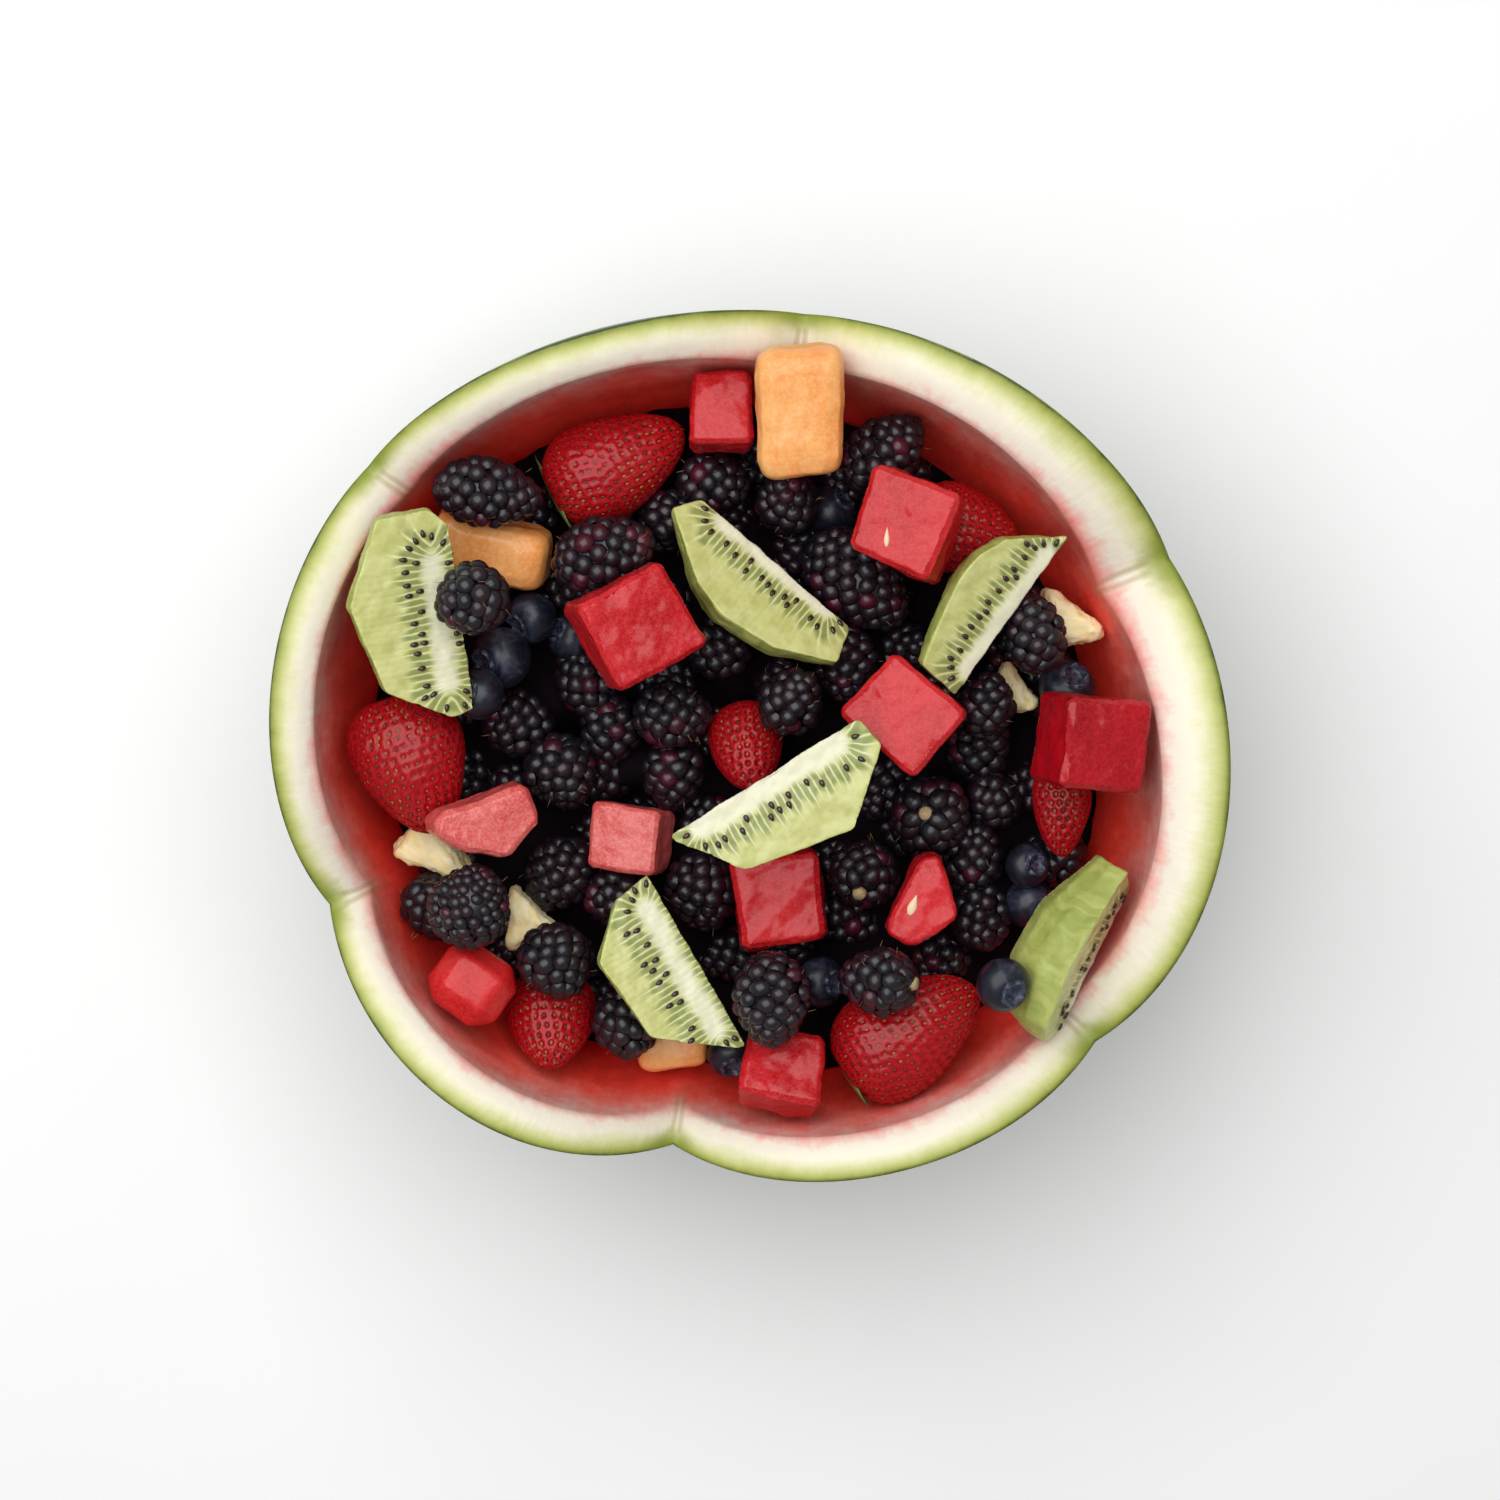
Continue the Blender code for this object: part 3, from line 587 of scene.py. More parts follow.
def bramble(length, width, rng, maroon=0.06, pitch=DRUPELET_PITCH, hairs=8, stalk="hidden", seen=None):
    """A bramble round its own middle, stalk at -X: hidden, a plug or an empty hole.

    `seen` says which directions can show.
    """
    bm = bmesh.new()
    ripeness = bm.verts.layers.float.new("redness")
    half, broad = length / 2, width / 2
    bmesh.ops.create_icosphere(bm, subdivisions=3, radius=1)
    bmesh.ops.scale(bm, vec=(half - 0.5 * pitch, broad - 0.5 * pitch, broad - 0.5 * pitch), verts=bm.verts)
    area = pi * width * (0.45 * width + 0.55 * length)
    count = round(area / (0.80 * pitch ** 2))
    for index in range(count):
        along = -1 + 2 * (index + 0.5) / count
        if stalk != "hidden" and along < -0.94:
            continue
        ring = sqrt(1 - along * along)
        turn = index * GOLDEN_TURN + rng.uniform(-0.12, 0.12)
        direction = Vector((along, ring * cos(turn), ring * sin(turn)))
        if seen is not None and not seen(direction):
            continue
        taper = 1 - 0.2 * max(along + 0.1, 0)
        spot = Vector((direction.x * half, direction.y * broad * taper, direction.z * broad * taper))
        outwards = Vector((direction.x / half, direction.y / broad, direction.z / broad)).normalized()
        radius = pitch * rng.uniform(0.44, 0.51) * (1 - 0.14 * max(along, 0))
        lengthwise = 1.0
        if along < -0.70 and stalk != "hidden":
            lengthwise = 1.35
            outwards = (outwards + Vector((-0.25, 0, 0))).normalized()
        forward = (Vector((1, 0, 0)) - outwards * outwards.x).normalized()
        sideways = outwards.cross(forward)
        turned = Matrix((forward, sideways, outwards)).transposed().to_4x4()
        size = Matrix.Diagonal((radius * lengthwise * rng.uniform(0.9, 1.04), radius * rng.uniform(0.96, 1.12),
                                radius * 0.86, 1))
        redness = rng.uniform(0.5, 1) if rng.random() < maroon else rng.uniform(0, 0.16)
        stamp(bm, drupelet, Matrix.Translation(spot - outwards * radius * rng.uniform(0.80, 1.0)) @ turned @ size,
              ripeness, redness)
    if stalk == "plug":
        plug = bmesh.ops.create_cone(bm, cap_ends=True, segments=11, radius1=STALK_PLUG, radius2=STALK_PLUG * 0.7,
                                     depth=1.6 * MM, matrix=Matrix.Translation((-half + 1.3 * MM, 0, 0))
                                     @ Matrix.Rotation(-pi / 2, 4, "Y"))
        corners_where(bm, plug["verts"], 1)
    for _ in range(hairs):
        lean = Vector((rng.uniform(-1, 1), rng.uniform(-1, 1), rng.uniform(-1, 1))).normalized()
        root = Vector((lean.x * half, lean.y * broad, lean.z * broad)) * 0.9
        aim = (lean + Vector((rng.uniform(-1, 1), rng.uniform(-1, 1), rng.uniform(-1, 1))) * 0.9).normalized()
        hair = bmesh.ops.create_cone(bm, cap_ends=True, segments=3, radius1=0.11 * MM, radius2=0.04 * MM,
                                     depth=2.4 * MM, matrix=Matrix.Translation(root + aim * 1.2 * MM)
                                     @ aim.to_track_quat("Z", "Y").to_matrix().to_4x4())
        corners_where(bm, hair["verts"], 2)
    return bm

# %% [markdown]
# The finish of a drupelet is nearly black, with a hint of blue, and here and there one that
# has stayed maroon. That difference comes from a value stored on its points. Its gloss is
# soft, so that the wide light draws a broad greyish patch on it and not a hard spot.

# %% Finishes of the brambles
bramble_skin, tree, shader = new_finish("bramble_skin", Roughness=0.35, IOR=1.46, Coat_Weight=0.22,
                                        Coat_Roughness=0.12)
redness = stored(tree, "redness")
tone = clouds(tree, place_on(tree), 300.0, 3.0)
dark = blend(tree, tone, paint(7, 7, 11), paint(21, 21, 31))
tree.links.new(blend(tree, redness, dark, paint(70, 12, 32)), shader.inputs["Base Color"])
raise_surface(tree, shader, clouds(tree, place_on(tree), 700.0, 3.0), 0.12, 0.25 * MM)

plug_finish, tree, shader = new_finish("bramble_plug", Roughness=0.8)
tree.links.new(blend(tree, clouds(tree, place_on(tree), 900.0, 4.0, 0.7), paint(122, 96, 60), paint(206, 184, 140)),
               shader.inputs["Base Color"])
raise_surface(tree, shader, clouds(tree, place_on(tree), 1400.0), 0.5, 0.3 * MM)

hair_finish, tree, shader = new_finish("bramble_hair", Roughness=0.6)
tree.links.new(blend(tree, clouds(tree, place_on(tree), 500.0), paint(120, 84, 46), paint(190, 156, 104)),
               shader.inputs["Base Color"])
print("bramble finishes ready")

# %% [markdown]
# The place, direction and size of each bramble are read from its solid: its longest
# direction is the line from stalk to tip, and the end whose ring is narrower is the tip.

# %% The brambles that can be told apart
MAROON = {"bramble_16": 0.22, "bramble_15": 0.1, "bramble_14": 0.14, "bramble_17": 0.12, "bramble_04": 0.12}
STALKS = {"bramble_05": "plug", "bramble_06": "plug", "bramble_13": "plug", "bramble_10": "hole"}
SMALL_DRUPELETS = {"bramble_17": 4.4 * MM, "bramble_06": 5.4 * MM}


def bramble_place(node):
    """Middle, way to the tip, way to the side and sizes of a bramble's solid."""
    bm = solid_copy(node)
    points = [vert.co.copy() for vert in bm.verts]
    bm.free()
    middle, directions, sizes = spread_of(points)
    forward = directions[0]
    far = [(point - middle) for point in points]
    width_at = {}
    for sign in (1, -1):
        ring = [away for away in far if 0.15 < sign * away.dot(forward) / sizes[0] < 0.45]
        width_at[sign] = sum((away - forward * away.dot(forward)).length for away in ring) / len(ring)
    if width_at[1] > width_at[-1]:
        forward = -forward
    return middle, forward, directions[1], sizes


triangles = 0
for number, node in enumerate(nodes_of["bramble"]):
    middle, forward, side, sizes = bramble_place(node)
    bm = bramble(sizes[0], (sizes[1] + sizes[2]) / 2, random.Random(40 + number),
                 MAROON.get(node, 0.06), SMALL_DRUPELETS.get(node, DRUPELET_PITCH),
                 stalk=STALKS.get(node, "hidden"))
    bmesh.ops.transform(bm, matrix=placed_at(middle, forward, side), verts=bm.verts)
    triangles += len(bm.faces)
    finish_piece(node + "_drupelets", bm, (bramble_skin, plug_finish, hair_finish), [node])
print("brambles:", triangles, "faces")

# %% [markdown]
# ## The bed of loose berries
# Between the fruit that can be told apart, more berries show in the gaps and fill the bowl
# below. One solid stands for all of them. Here it becomes a dark core, let down a little,
# and a layer of single berries on top of it: first those whose places are known, then as
# many more as fit between them on a loose grid. Each is set with its top on the old solid's
# top. Only what can be seen through the gaps is made, because a berry that is
# covered on all sides costs thousands of faces and shows nowhere.

# %% Dark core
bm = solid_copy("fruit_heap")
refine(bm, 9 * MM)
soften(bm, 2)
heap_low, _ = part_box("fruit_heap")
for vert in bm.verts:
    vert.co.z -= min(6 * MM, (vert.co.z - heap_low.z) * 0.3)
    vert.co.xy *= 0.985
# Near black and matt: it stands for the dark berries below, and it is painted shade in the gaps between the fruit
core_finish, tree, shader = new_finish("heap_core", Roughness=0.95, IOR=1.15)
tree.links.new(blend(tree, clouds(tree, place_on(tree), 120.0), paint(6, 5, 8), paint(22, 12, 18)),
               shader.inputs["Base Color"])
raise_surface(tree, shader, clouds(tree, place_on(tree), 200.0), 0.5, 2 * MM)
finish_piece("heap_dark_core", bm, (core_finish,), ["fruit_heap"])

# %% Where the loose berries lie
LOOSE_BRAMBLES = (              # x, y and diameter, in mm
    (66, -2, 20), (70, -18, 18), (64, -34, 20), (66, -50, 20), (10, -62, 20), (-14, -44, 22),
    (-22, -10, 20), (-47, 17, 20), (-67, 5, 22), (-55, -39, 22), (-40, 2, 20), (-43, -10, 20),
    (-8, 27, 21), (27, 22, 21), (-82, 59, 19), (-38, -45, 20), (10, -20, 20), (62, 32, 19),
    (-24, 62, 19), (-6, 48, 20), (55, 88, 16), (-66, -88, 16), (-98, 22, 18), (-30, -60, 19),
)
LOOSE_BLUEBERRIES = ((-51, 29, 14), (23, 65, 15), (-15, 85, 15), (80, -47, 15), (20, -70, 15), (-16, -85, 15))
FILL_PITCH = 15.0               # mm between the grid's berries
FILL_SIZE = 19

heap_top = solid_tree("fruit_heap")
fruit_above = [solid_tree(node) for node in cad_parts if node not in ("fruit_heap", "melon_bowl")]
wall_tree = solid_tree("melon_bowl")


def top_at(x, y):
    hit = heap_top.ray_cast(Vector((x, y, 0.3)), Vector((0, 0, -1)))
    return hit[0].z if hit[0] else None


def open_to_sky(x, y, radius):
    """Share of a berry's disc that no other fruit covers."""
    free = 0
    for ring, count in ((0, 1), (0.5, 6), (0.95, 10)):
        for step in range(count):
            spot = polar(360 * step / count, radius * ring, 0) + Vector((x, y, 0.3))
            free += not any(tree.ray_cast(spot, Vector((0, 0, -1)))[0] for tree in fruit_above)
    return free / 17


def loose_places():
    rng = random.Random(11)
    taken = [(x, y, size, "bramble") for x, y, size in LOOSE_BRAMBLES]
    taken += [(x, y, size, "blueberry") for x, y, size in LOOSE_BLUEBERRIES]
    for row in range(-8, 9):
        for step in range(-8, 9):
            x = (step + 0.5 * (row % 2)) * FILL_PITCH + rng.uniform(-2.5, 2.5)
            y = row * FILL_PITCH * 0.87 + rng.uniform(-2.5, 2.5)
            size = FILL_SIZE * rng.uniform(0.9, 1.1)
            if all(hypot(x - a, y - b) > 0.36 * (size + other) for a, b, other, _ in taken):
                taken.append((x, y, size, "bramble"))
    return taken


places = []
for x, y, size, kind in loose_places():
    top = top_at(x * MM, y * MM)
    if top is None or open_to_sky(x * MM, y * MM, size / 2 * MM) < 0.06:
        continue
    heights = [top_at(x * MM + dx * size * 0.3 * MM, y * MM + dy * size * 0.3 * MM)
               for dx, dy in ((1, 0), (-1, 0), (0, 1), (0, -1))]
    top = max([top] + [height for height in heights if height])
    places.append((Vector((x * MM, y * MM, top - size / 2 * MM)), size * MM, kind))
print(len(places), "loose berries show")

# %% Clear of the fruit and the wall
MAY_TOUCH = 0.68                # soft berries are pressed this close together


def sunk_clear(middle, radius):
    """Lower a loose berry until it lies clear of the fruit over it, then move it off the wall."""
    for _ in range(6):
        nearest = min(tree.find_nearest(middle)[3] for tree in fruit_above)
        if nearest > radius * MAY_TOUCH:
            break
        middle.z -= 1.1 * MM
    for _ in range(30):
        surface, normal, _, away = wall_tree.find_nearest(middle)
        if away > radius and (middle - surface).dot(normal) > 0:
            break
        middle += (Vector((0, 0, EQUATOR_Z)) - middle).normalized() * MM
    return middle


rng = random.Random(5)
loose = bmesh.new()
loose.verts.layers.float.new("redness")
spare_mesh = bpy.data.meshes.new("one loose bramble")
for middle, size, kind in places:
    if kind != "bramble":
        continue
    middle = sunk_clear(middle, size / 2)
    aim = Vector((rng.uniform(-1, 1), rng.uniform(-1, 1), rng.uniform(-0.5, 0.5))).normalized()
    turn = placed_at(middle, aim, aim.orthogonal())
    upright = turn.to_3x3()
    one = bramble(size * rng.uniform(1.05, 1.2), size * 0.98, rng, hairs=3, stalk="hidden",
                  seen=lambda direction: (upright @ direction).z > -0.25)
    bmesh.ops.transform(one, matrix=turn, verts=one.verts)
    one.to_mesh(spare_mesh)
    one.free()
    loose.from_mesh(spare_mesh)
print("loose brambles:", len(loose.faces), "faces")
print("farthest from the axis:", round(max(hypot(vert.co.x, vert.co.y) for vert in loose.verts) / MM, 1), "mm")
loose_piece = finish_piece("loose_brambles", loose, (bramble_skin, plug_finish, hair_finish))
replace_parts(loose_piece, "fruit_heap")

# %% [markdown]
# ## Blueberries
# A blueberry is a slightly flat ball with a crown: a ring of five blunt lobes round a dent.
# Its outline is turned round the berry's own axis, and the points of the ring are then
# moved in and out five times round. The skin is dark blue under a greyish bloom that is
# rubbed off in patches.

# %% Turned blueberry with its crown
BLUEBERRY_OUTLINE = (           # radius and height, as shares of the diameter
    (0, -0.44), (0.14, -0.425), (0.27, -0.365), (0.38, -0.26), (0.46, -0.12), (0.495, 0.03), (0.47, 0.18),
    (0.40, 0.30), (0.31, 0.375), (0.245, 0.40), (0.215, 0.43), (0.185, 0.425), (0.15, 0.375), (0.09, 0.345),
    (0, 0.34),
)
CROWN_FROM = 0.385              # the lobes begin above this height


def smooth_outline(points, between):
    """More points along a smooth curve through these."""
    line = []
    padded = [points[0]] + list(points) + [points[-1]]
    for first, start, end, last in zip(padded, padded[1:], padded[2:], padded[3:]):
        for step in range(between):
            t = step / between
            line.append(tuple(0.5 * (2 * b + (c - a) * t + (2 * a - 5 * b + 4 * c - d) * t ** 2
                                     + (3 * b - a - 3 * c + d) * t ** 3)
                              for a, b, c, d in zip(first, start, end, last)))
    return line + [tuple(points[-1])]


def turned_solid(outline, axis, steps):
    """Spin an outline of (radius, height) round Z, or (height, radius) round X."""
    bm = bmesh.new()
    if axis == "Z":
        line = [bm.verts.new((max(radius, 0), 0, height)) for radius, height in outline]
        turn = (0, 0, 1)
    else:
        line = [bm.verts.new((height, max(radius, 0), 0)) for height, radius in outline]
        turn = (1, 0, 0)
    edges = [bm.edges.new(pair) for pair in zip(line, line[1:])]
    bmesh.ops.spin(bm, geom=line + edges, cent=(0, 0, 0), axis=turn, angle=tau, steps=steps, use_merge=True)
    bmesh.ops.remove_doubles(bm, verts=bm.verts, dist=0.0005)
    bmesh.ops.recalc_face_normals(bm, faces=bm.faces)
    return bm


def blueberry(diameter, rng, steps=50, between=4):
    bm = turned_solid(smooth_outline(BLUEBERRY_OUTLINE, between), "Z", steps)
    bloom = bm.verts.layers.float.new("crown")
    for vert in bm.verts:
        rise = min(max((vert.co.z - CROWN_FROM) / 0.05, 0), 1)
        if hypot(vert.co.x, vert.co.y) < 0.26 and vert.co.z > 0.3:
            vert[bloom] = 1
        lobe = cos(5 * atan2(vert.co.y, vert.co.x))
        vert.co.xy *= 1 + 0.16 * rise * lobe
        vert.co.z += 0.03 * rise * lobe
        vert.co += vert.co * 0.02 * noise.noise(vert.co * 2.2 + Vector((rng.random() * 0.1, 0, 0)))
    bmesh.ops.scale(bm, vec=(diameter, diameter, diameter), verts=bm.verts)
    return bm


blueberry_skin, tree, shader = new_finish("blueberry_skin", Roughness=0.38, IOR=1.45, Coat_Weight=0.08)
rubbed = clouds(tree, place_on(tree), 120.0, 4.0, 0.65, 0.8)
fine = clouds(tree, place_on(tree), 700.0, 3.0)
bloomed = sums(tree, "MULTIPLY", spread(tree, rubbed, 0.46, 0.72), spread(tree, fine, 0.2, 0.7, 0.6, 1.0))
bloomed = sums(tree, "MAXIMUM", bloomed, sums(tree, "MULTIPLY", stored(tree, "crown"), spread(tree, fine, 0.35, 0.6)))
navy = blend(tree, fine, paint(12, 13, 22), paint(26, 29, 44))
tree.links.new(blend(tree, bloomed, navy, paint(64, 70, 90)), shader.inputs["Base Color"])
raise_surface(tree, shader, fine, 0.1, 0.2 * MM)

# %% Place the blueberries
for number, node in enumerate(nodes_of["blueberry"]):
    bm = solid_copy(node)
    points = [vert.co.copy() for vert in bm.verts]
    bm.free()
    middle = sum(points, Vector()) / len(points)
    crown = min(points, key=lambda point: (point - middle).length) - middle
    across = max((point - middle).length for point in points) * 2
    turn = Matrix.Translation(middle) @ crown.to_track_quat("Z", "Y").to_matrix().to_4x4()
    bm = blueberry(across, random.Random(number))
    bmesh.ops.transform(bm, matrix=turn, verts=bm.verts)
    finish_piece(node + "_crowned", bm, (blueberry_skin,), [node])

loose = bmesh.new()
for number, (middle, size, kind) in enumerate(places):
    if kind != "blueberry":
        continue
    one = blueberry(size, rng, 32, 2)
    lean = Vector((rng.uniform(-1, 1), rng.uniform(-1, 1), 0.4))
    turn = Matrix.Translation(sunk_clear(middle, size / 2)) @ lean.to_track_quat("Z", "Y").to_matrix().to_4x4()
    bmesh.ops.transform(one, matrix=turn, verts=one.verts)
    one.to_mesh(spare_mesh)
    one.free()
    loose.from_mesh(spare_mesh)
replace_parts(finish_piece("loose_blueberries", loose, (blueberry_skin,)), "fruit_heap")
print("blueberries:", len(nodes_of["blueberry"]), "crowned")

# %% [markdown]
# ## Strawberries
# A strawberry's skin is stretched between its seeds: each seed sits in a dimple with a
# soft raised rim, and it is these rims that catch the light. The body is turned from the
# same outline as its solid, the seeds are laid out in rings with a hand's breadth between
# them, and then every point of the skin asks how far the nearest seed is and moves in or
# out by it. A bump texture would do for the far view, but not for the outline of the berry.

# %% Strawberry body and seeds
STRAWBERRY_PROFILE = ((0.02, 0), (0, 0.22), (0.1, 0.41), (0.28, 0.5), (0.52, 0.46), (0.76, 0.33), (0.93, 0.17), (1, 0))
STRAWBERRY_MIDDLE = 0.45
SEED_APART = 2.75 * MM
DIMPLE_DEPTH = 0.7 * MM
DIMPLE_WIDTH = 0.72 * MM
DIMPLE_RIM = 0.3 * MM


def seed_bead(length, width, thickness):
    bm = bmesh.new()
    bmesh.ops.create_uvsphere(bm, u_segments=8, v_segments=5, radius=1)
    for vert in bm.verts:
        vert.co.y *= 1 - 0.35 * vert.co.x
    bmesh.ops.scale(bm, vec=(length / 2, width / 2, thickness / 2), verts=bm.verts)
    mesh = bpy.data.meshes.new("seed")
    bm.to_mesh(mesh)
    bm.free()
    return mesh


strawberry_seed = seed_bead(1.35 * MM, 0.85 * MM, 0.5 * MM)


def seed_rings(outline, sizes, rng):
    """Places of seeds on the skin, ring by ring, half a step on in every other ring."""
    length, width, thickness = sizes
    places = []
    gone = SEED_APART * 0.7
    ring = 0
    for (a, r), (b, s) in zip(outline, outline[1:]):
        gone += hypot((b - a) * length, (s - r) * width)
        if gone < SEED_APART * 0.86 or r < 0.03:
            continue
        gone = 0
        ring += 1
        count = max(3, round(pi * r * (width + thickness) / SEED_APART))
        for step in range(count):
            turn = tau * (step + 0.5 * (ring % 2) + rng.uniform(-0.12, 0.12)) / count
            places.append(Vector(((a + rng.uniform(-0.008, 0.008)) * length,
                                  r * width * cos(turn), r * thickness * sin(turn))))
    return places


def strawberry(sizes, rng):
    """A strawberry round its own middle, its tip at +X; also the places of its seeds."""
    length, width, thickness = sizes
    outline = [(along - STRAWBERRY_MIDDLE, radius)
               for along, radius in smooth_outline(STRAWBERRY_PROFILE, 11)]
    bm = turned_solid(outline, "X", 120)
    bmesh.ops.scale(bm, vec=sizes, verts=bm.verts)
    seeds = seed_rings(outline, sizes, rng)
    finder = KDTree(len(seeds))
    for index, place in enumerate(seeds):
        finder.insert(place, index)
    finder.balance()
    bm.normal_update()
    dimple = bm.verts.layers.float.new("dimple")
    outwards = {}
    for vert in bm.verts:
        _, index, away = finder.find(vert.co)
        pit = exp(-(away / DIMPLE_WIDTH) ** 2)
        rim = exp(-((away - 1.75 * DIMPLE_WIDTH) / (0.55 * DIMPLE_WIDTH)) ** 2)
        lump = 0.5 * MM * noise.noise(vert.co / (11 * MM) + Vector((sizes[0] * 900, 0, 0)))
        if index not in outwards or away < outwards[index][0]:
            outwards[index] = (away, vert.normal.copy())
        vert[dimple] = pit - 0.5 * rim
        vert.co += vert.normal * (DIMPLE_RIM * rim - DIMPLE_DEPTH * pit + lump - 0.25 * MM)
    seeds_at = []
    for index, place in enumerate(seeds):
        if index in outwards:
            seeds_at.append((place, outwards[index][1]))
    return bm, seeds_at

# %% [markdown]
# The skin is a deep glossy red, with painted shade that darkens the dimples and a painted highlight that makes their
# rims a shade paler.
# The seeds are straw-yellow to brown.

# %% Finishes of the strawberries
strawberry_skin, tree, shader = new_finish("strawberry_skin", Roughness=0.25, IOR=1.34, Coat_Weight=0.1,
                                           Coat_Roughness=0.1)
depth_in = stored(tree, "dimple")
red = blend(tree, clouds(tree, place_on(tree), 70.0, 3.0), paint(138, 3, 12), paint(168, 8, 20))
# Painted shade: the dimples are painted darker
red = blend(tree, spread(tree, depth_in, 0.15, 0.9), red, paint(98, 3, 8))
# Painted highlight: the rims round the dimples are painted a shade paler
red = blend(tree, spread(tree, depth_in, -0.1, -0.5, 0.0, 0.35), red, paint(200, 44, 50))
tree.links.new(red, shader.inputs["Base Color"])
raise_surface(tree, shader, clouds(tree, place_on(tree), 900.0, 3.0), 0.12, 0.25 * MM)

seed_finish, tree, shader = new_finish("strawberry_seed", Roughness=0.4)
tree.links.new(blend(tree, spread(tree, clouds(tree, place_on(tree), 160.0, 2.0), 0.4, 0.6), paint(74, 34, 12),
                     paint(156, 104, 44)), shader.inputs["Base Color"])
raise_surface(tree, shader, clouds(tree, place_on(tree), 1500.0), 0.2, 0.1 * MM)

leaf_finish, tree, shader = new_finish("strawberry_leaf", Roughness=0.55)
tree.links.new(blend(tree, clouds(tree, place_on(tree), 220.0, 4.0, 0.6), paint(40, 62, 24), paint(112, 128, 60)),
               shader.inputs["Base Color"])
raise_surface(tree, shader, clouds(tree, place_on(tree), 380.0), 0.4, 0.3 * MM)

# %% Leaves at the stalk
LEAVES = {                      # headings round the stalk, in degrees from the side
    "strawberry_01": (62, 100, 232, 265), "strawberry_02": (60, 100, 140), "strawberry_06": (30, 75),
}
LEAF_LENGTH = 13 * MM
LEAF_WIDTH = 5.5 * MM


def leaf(turn):
    """One pointed sepal at the stalk, bent back over the shoulder."""
    bm = bmesh.new()
    bmesh.ops.create_grid(bm, x_segments=10, y_segments=4, size=0.5)
    for vert in bm.verts:
        along = vert.co.x + 0.5
        breadth = sin(pi * min(along * 0.92 + 0.08, 1)) ** 0.7 if along < 1 else 0.02
        side = vert.co.y * LEAF_WIDTH * max(breadth, 0.04)
        vert.co = Vector((LEAF_LENGTH * (0.10 * along ** 2 - 0.05 + 0.4 * (side / LEAF_WIDTH) ** 2),
                          side, LEAF_LENGTH * along))
    bmesh.ops.solidify(bm, geom=bm.faces[:], thickness=0.35 * MM)
    bmesh.ops.rotate(bm, verts=bm.verts, cent=(0, 0, 0), matrix=Matrix.Rotation(radians(turn), 3, "X"))
    return bm

# %% Place the strawberries
for number, node in enumerate(nodes_of["strawberry"]):
    bm = solid_copy(node)
    poles = sorted(bm.verts, key=lambda vert: len(vert.link_edges))[-2:]
    points = [vert.co.copy() for vert in bm.verts]
    ends = [vert.co.copy() for vert in poles]
    bm.free()
    mass = sum(points, Vector()) / len(points)
    stalk, tip = sorted(ends, key=lambda end: (end - mass).length)
    forward = (tip - stalk).normalized()
    flat = [point - forward * point.dot(forward) for point in points]
    _, sideways, _ = spread_of(flat)
    side, up = sideways[0], forward.cross(sideways[0])
    width = max(point.dot(side) for point in points) - min(point.dot(side) for point in points)
    thickness = max(point.dot(up) for point in points) - min(point.dot(up) for point in points)
    length = (tip - stalk).length / 0.98
    middle = stalk + forward * length * (STRAWBERRY_MIDDLE - 0.02)
    rng = random.Random(70 + number)
    bm, seeds = strawberry((length, width, thickness), rng)
    for place, outwards in seeds:
        along = (Vector((1, 0, 0)) - outwards * outwards.x).normalized()
        turned = Matrix((along, outwards.cross(along), outwards)).transposed().to_4x4()
        before = len(bm.faces)
        stamp(bm, strawberry_seed, Matrix.Translation(place - outwards * 0.72 * MM) @ turned)
        bm.faces.ensure_lookup_table()
        for index in range(before, len(bm.faces)):
            bm.faces[index].material_index = 1
    for turn in LEAVES.get(node, ()):
        one = leaf(turn)
        bmesh.ops.translate(one, vec=(-STRAWBERRY_MIDDLE * length, 0, 0), verts=one.verts)
        for face in one.faces:
            face.material_index = 2
        one.to_mesh(spare_mesh)
        one.free()
        bm.from_mesh(spare_mesh)
    bmesh.ops.transform(bm, matrix=placed_at(middle, forward, side), verts=bm.verts)
    finish_piece(node + "_seeded", bm, (strawberry_skin, seed_finish, leaf_finish), [node])
    print(node, len(seeds), "seeds")

# %% [markdown]
# ## Cut fruit: melon, cantaloupe and pineapple
# The cubes keep the shape of their solids, whose corners were already set one by one. The
# skin of each is refined until it can be worn, its edges are softened, and its faces are
# torn a little, as a blunt knife leaves them. Pineapple tears most, because its fibres pull
# out in rows; cantaloupe hardly at all. Each kind has a finish from one recipe: a base
# colour that wanders between two tones, and fine pale marks in the grain that are painted
# sheen, the glint of light on wet cells, stronger on faces that look upwards to the light.

# %% Recipe of a cut-fruit finish
def cut_fruit(name, deep, clear, sheen_colour, cells, sheen_share, grain, along, **constants):
    """A wet cut face: two tones of flesh, pale marks in its grain painted as sheen and stronger on faces that look up,
    and a wet gloss.
    """
    made, tree, shader = new_finish(name, **constants)
    place = place_on(tree)
    streaked = clouds(tree, stretched(tree, place, *along), 62.0, 5.0, 0.65)
    flesh = blend(tree, spread(tree, streaked, 0.32, 0.68), paint(*deep), paint(*clear))
    height = wet_grain(tree, cells)
    # Painted sheen: the pale marks in the wet grain stand for glints of light on the cells
    painted_grain_sheen = spread(tree, height, 0.1, 0.42, 0.0, sheen_share)
    upward = add(tree, "SeparateXYZ", Vector=add(tree, "NewGeometry").outputs["Normal"]).outputs["Z"]
    # Painted sheen on top: the marks show more on faces that look upwards, towards the light
    painted_top_sheen = spread(tree, upward, 0.35, 0.92, 0.35, 1.0)
    flesh = blend(tree, sums(tree, "MULTIPLY", painted_grain_sheen, painted_top_sheen), flesh, paint(*sheen_colour))
    tree.links.new(flesh, shader.inputs["Base Color"])
    raise_surface(tree, shader, height, grain, 0.4 * MM)
    return made


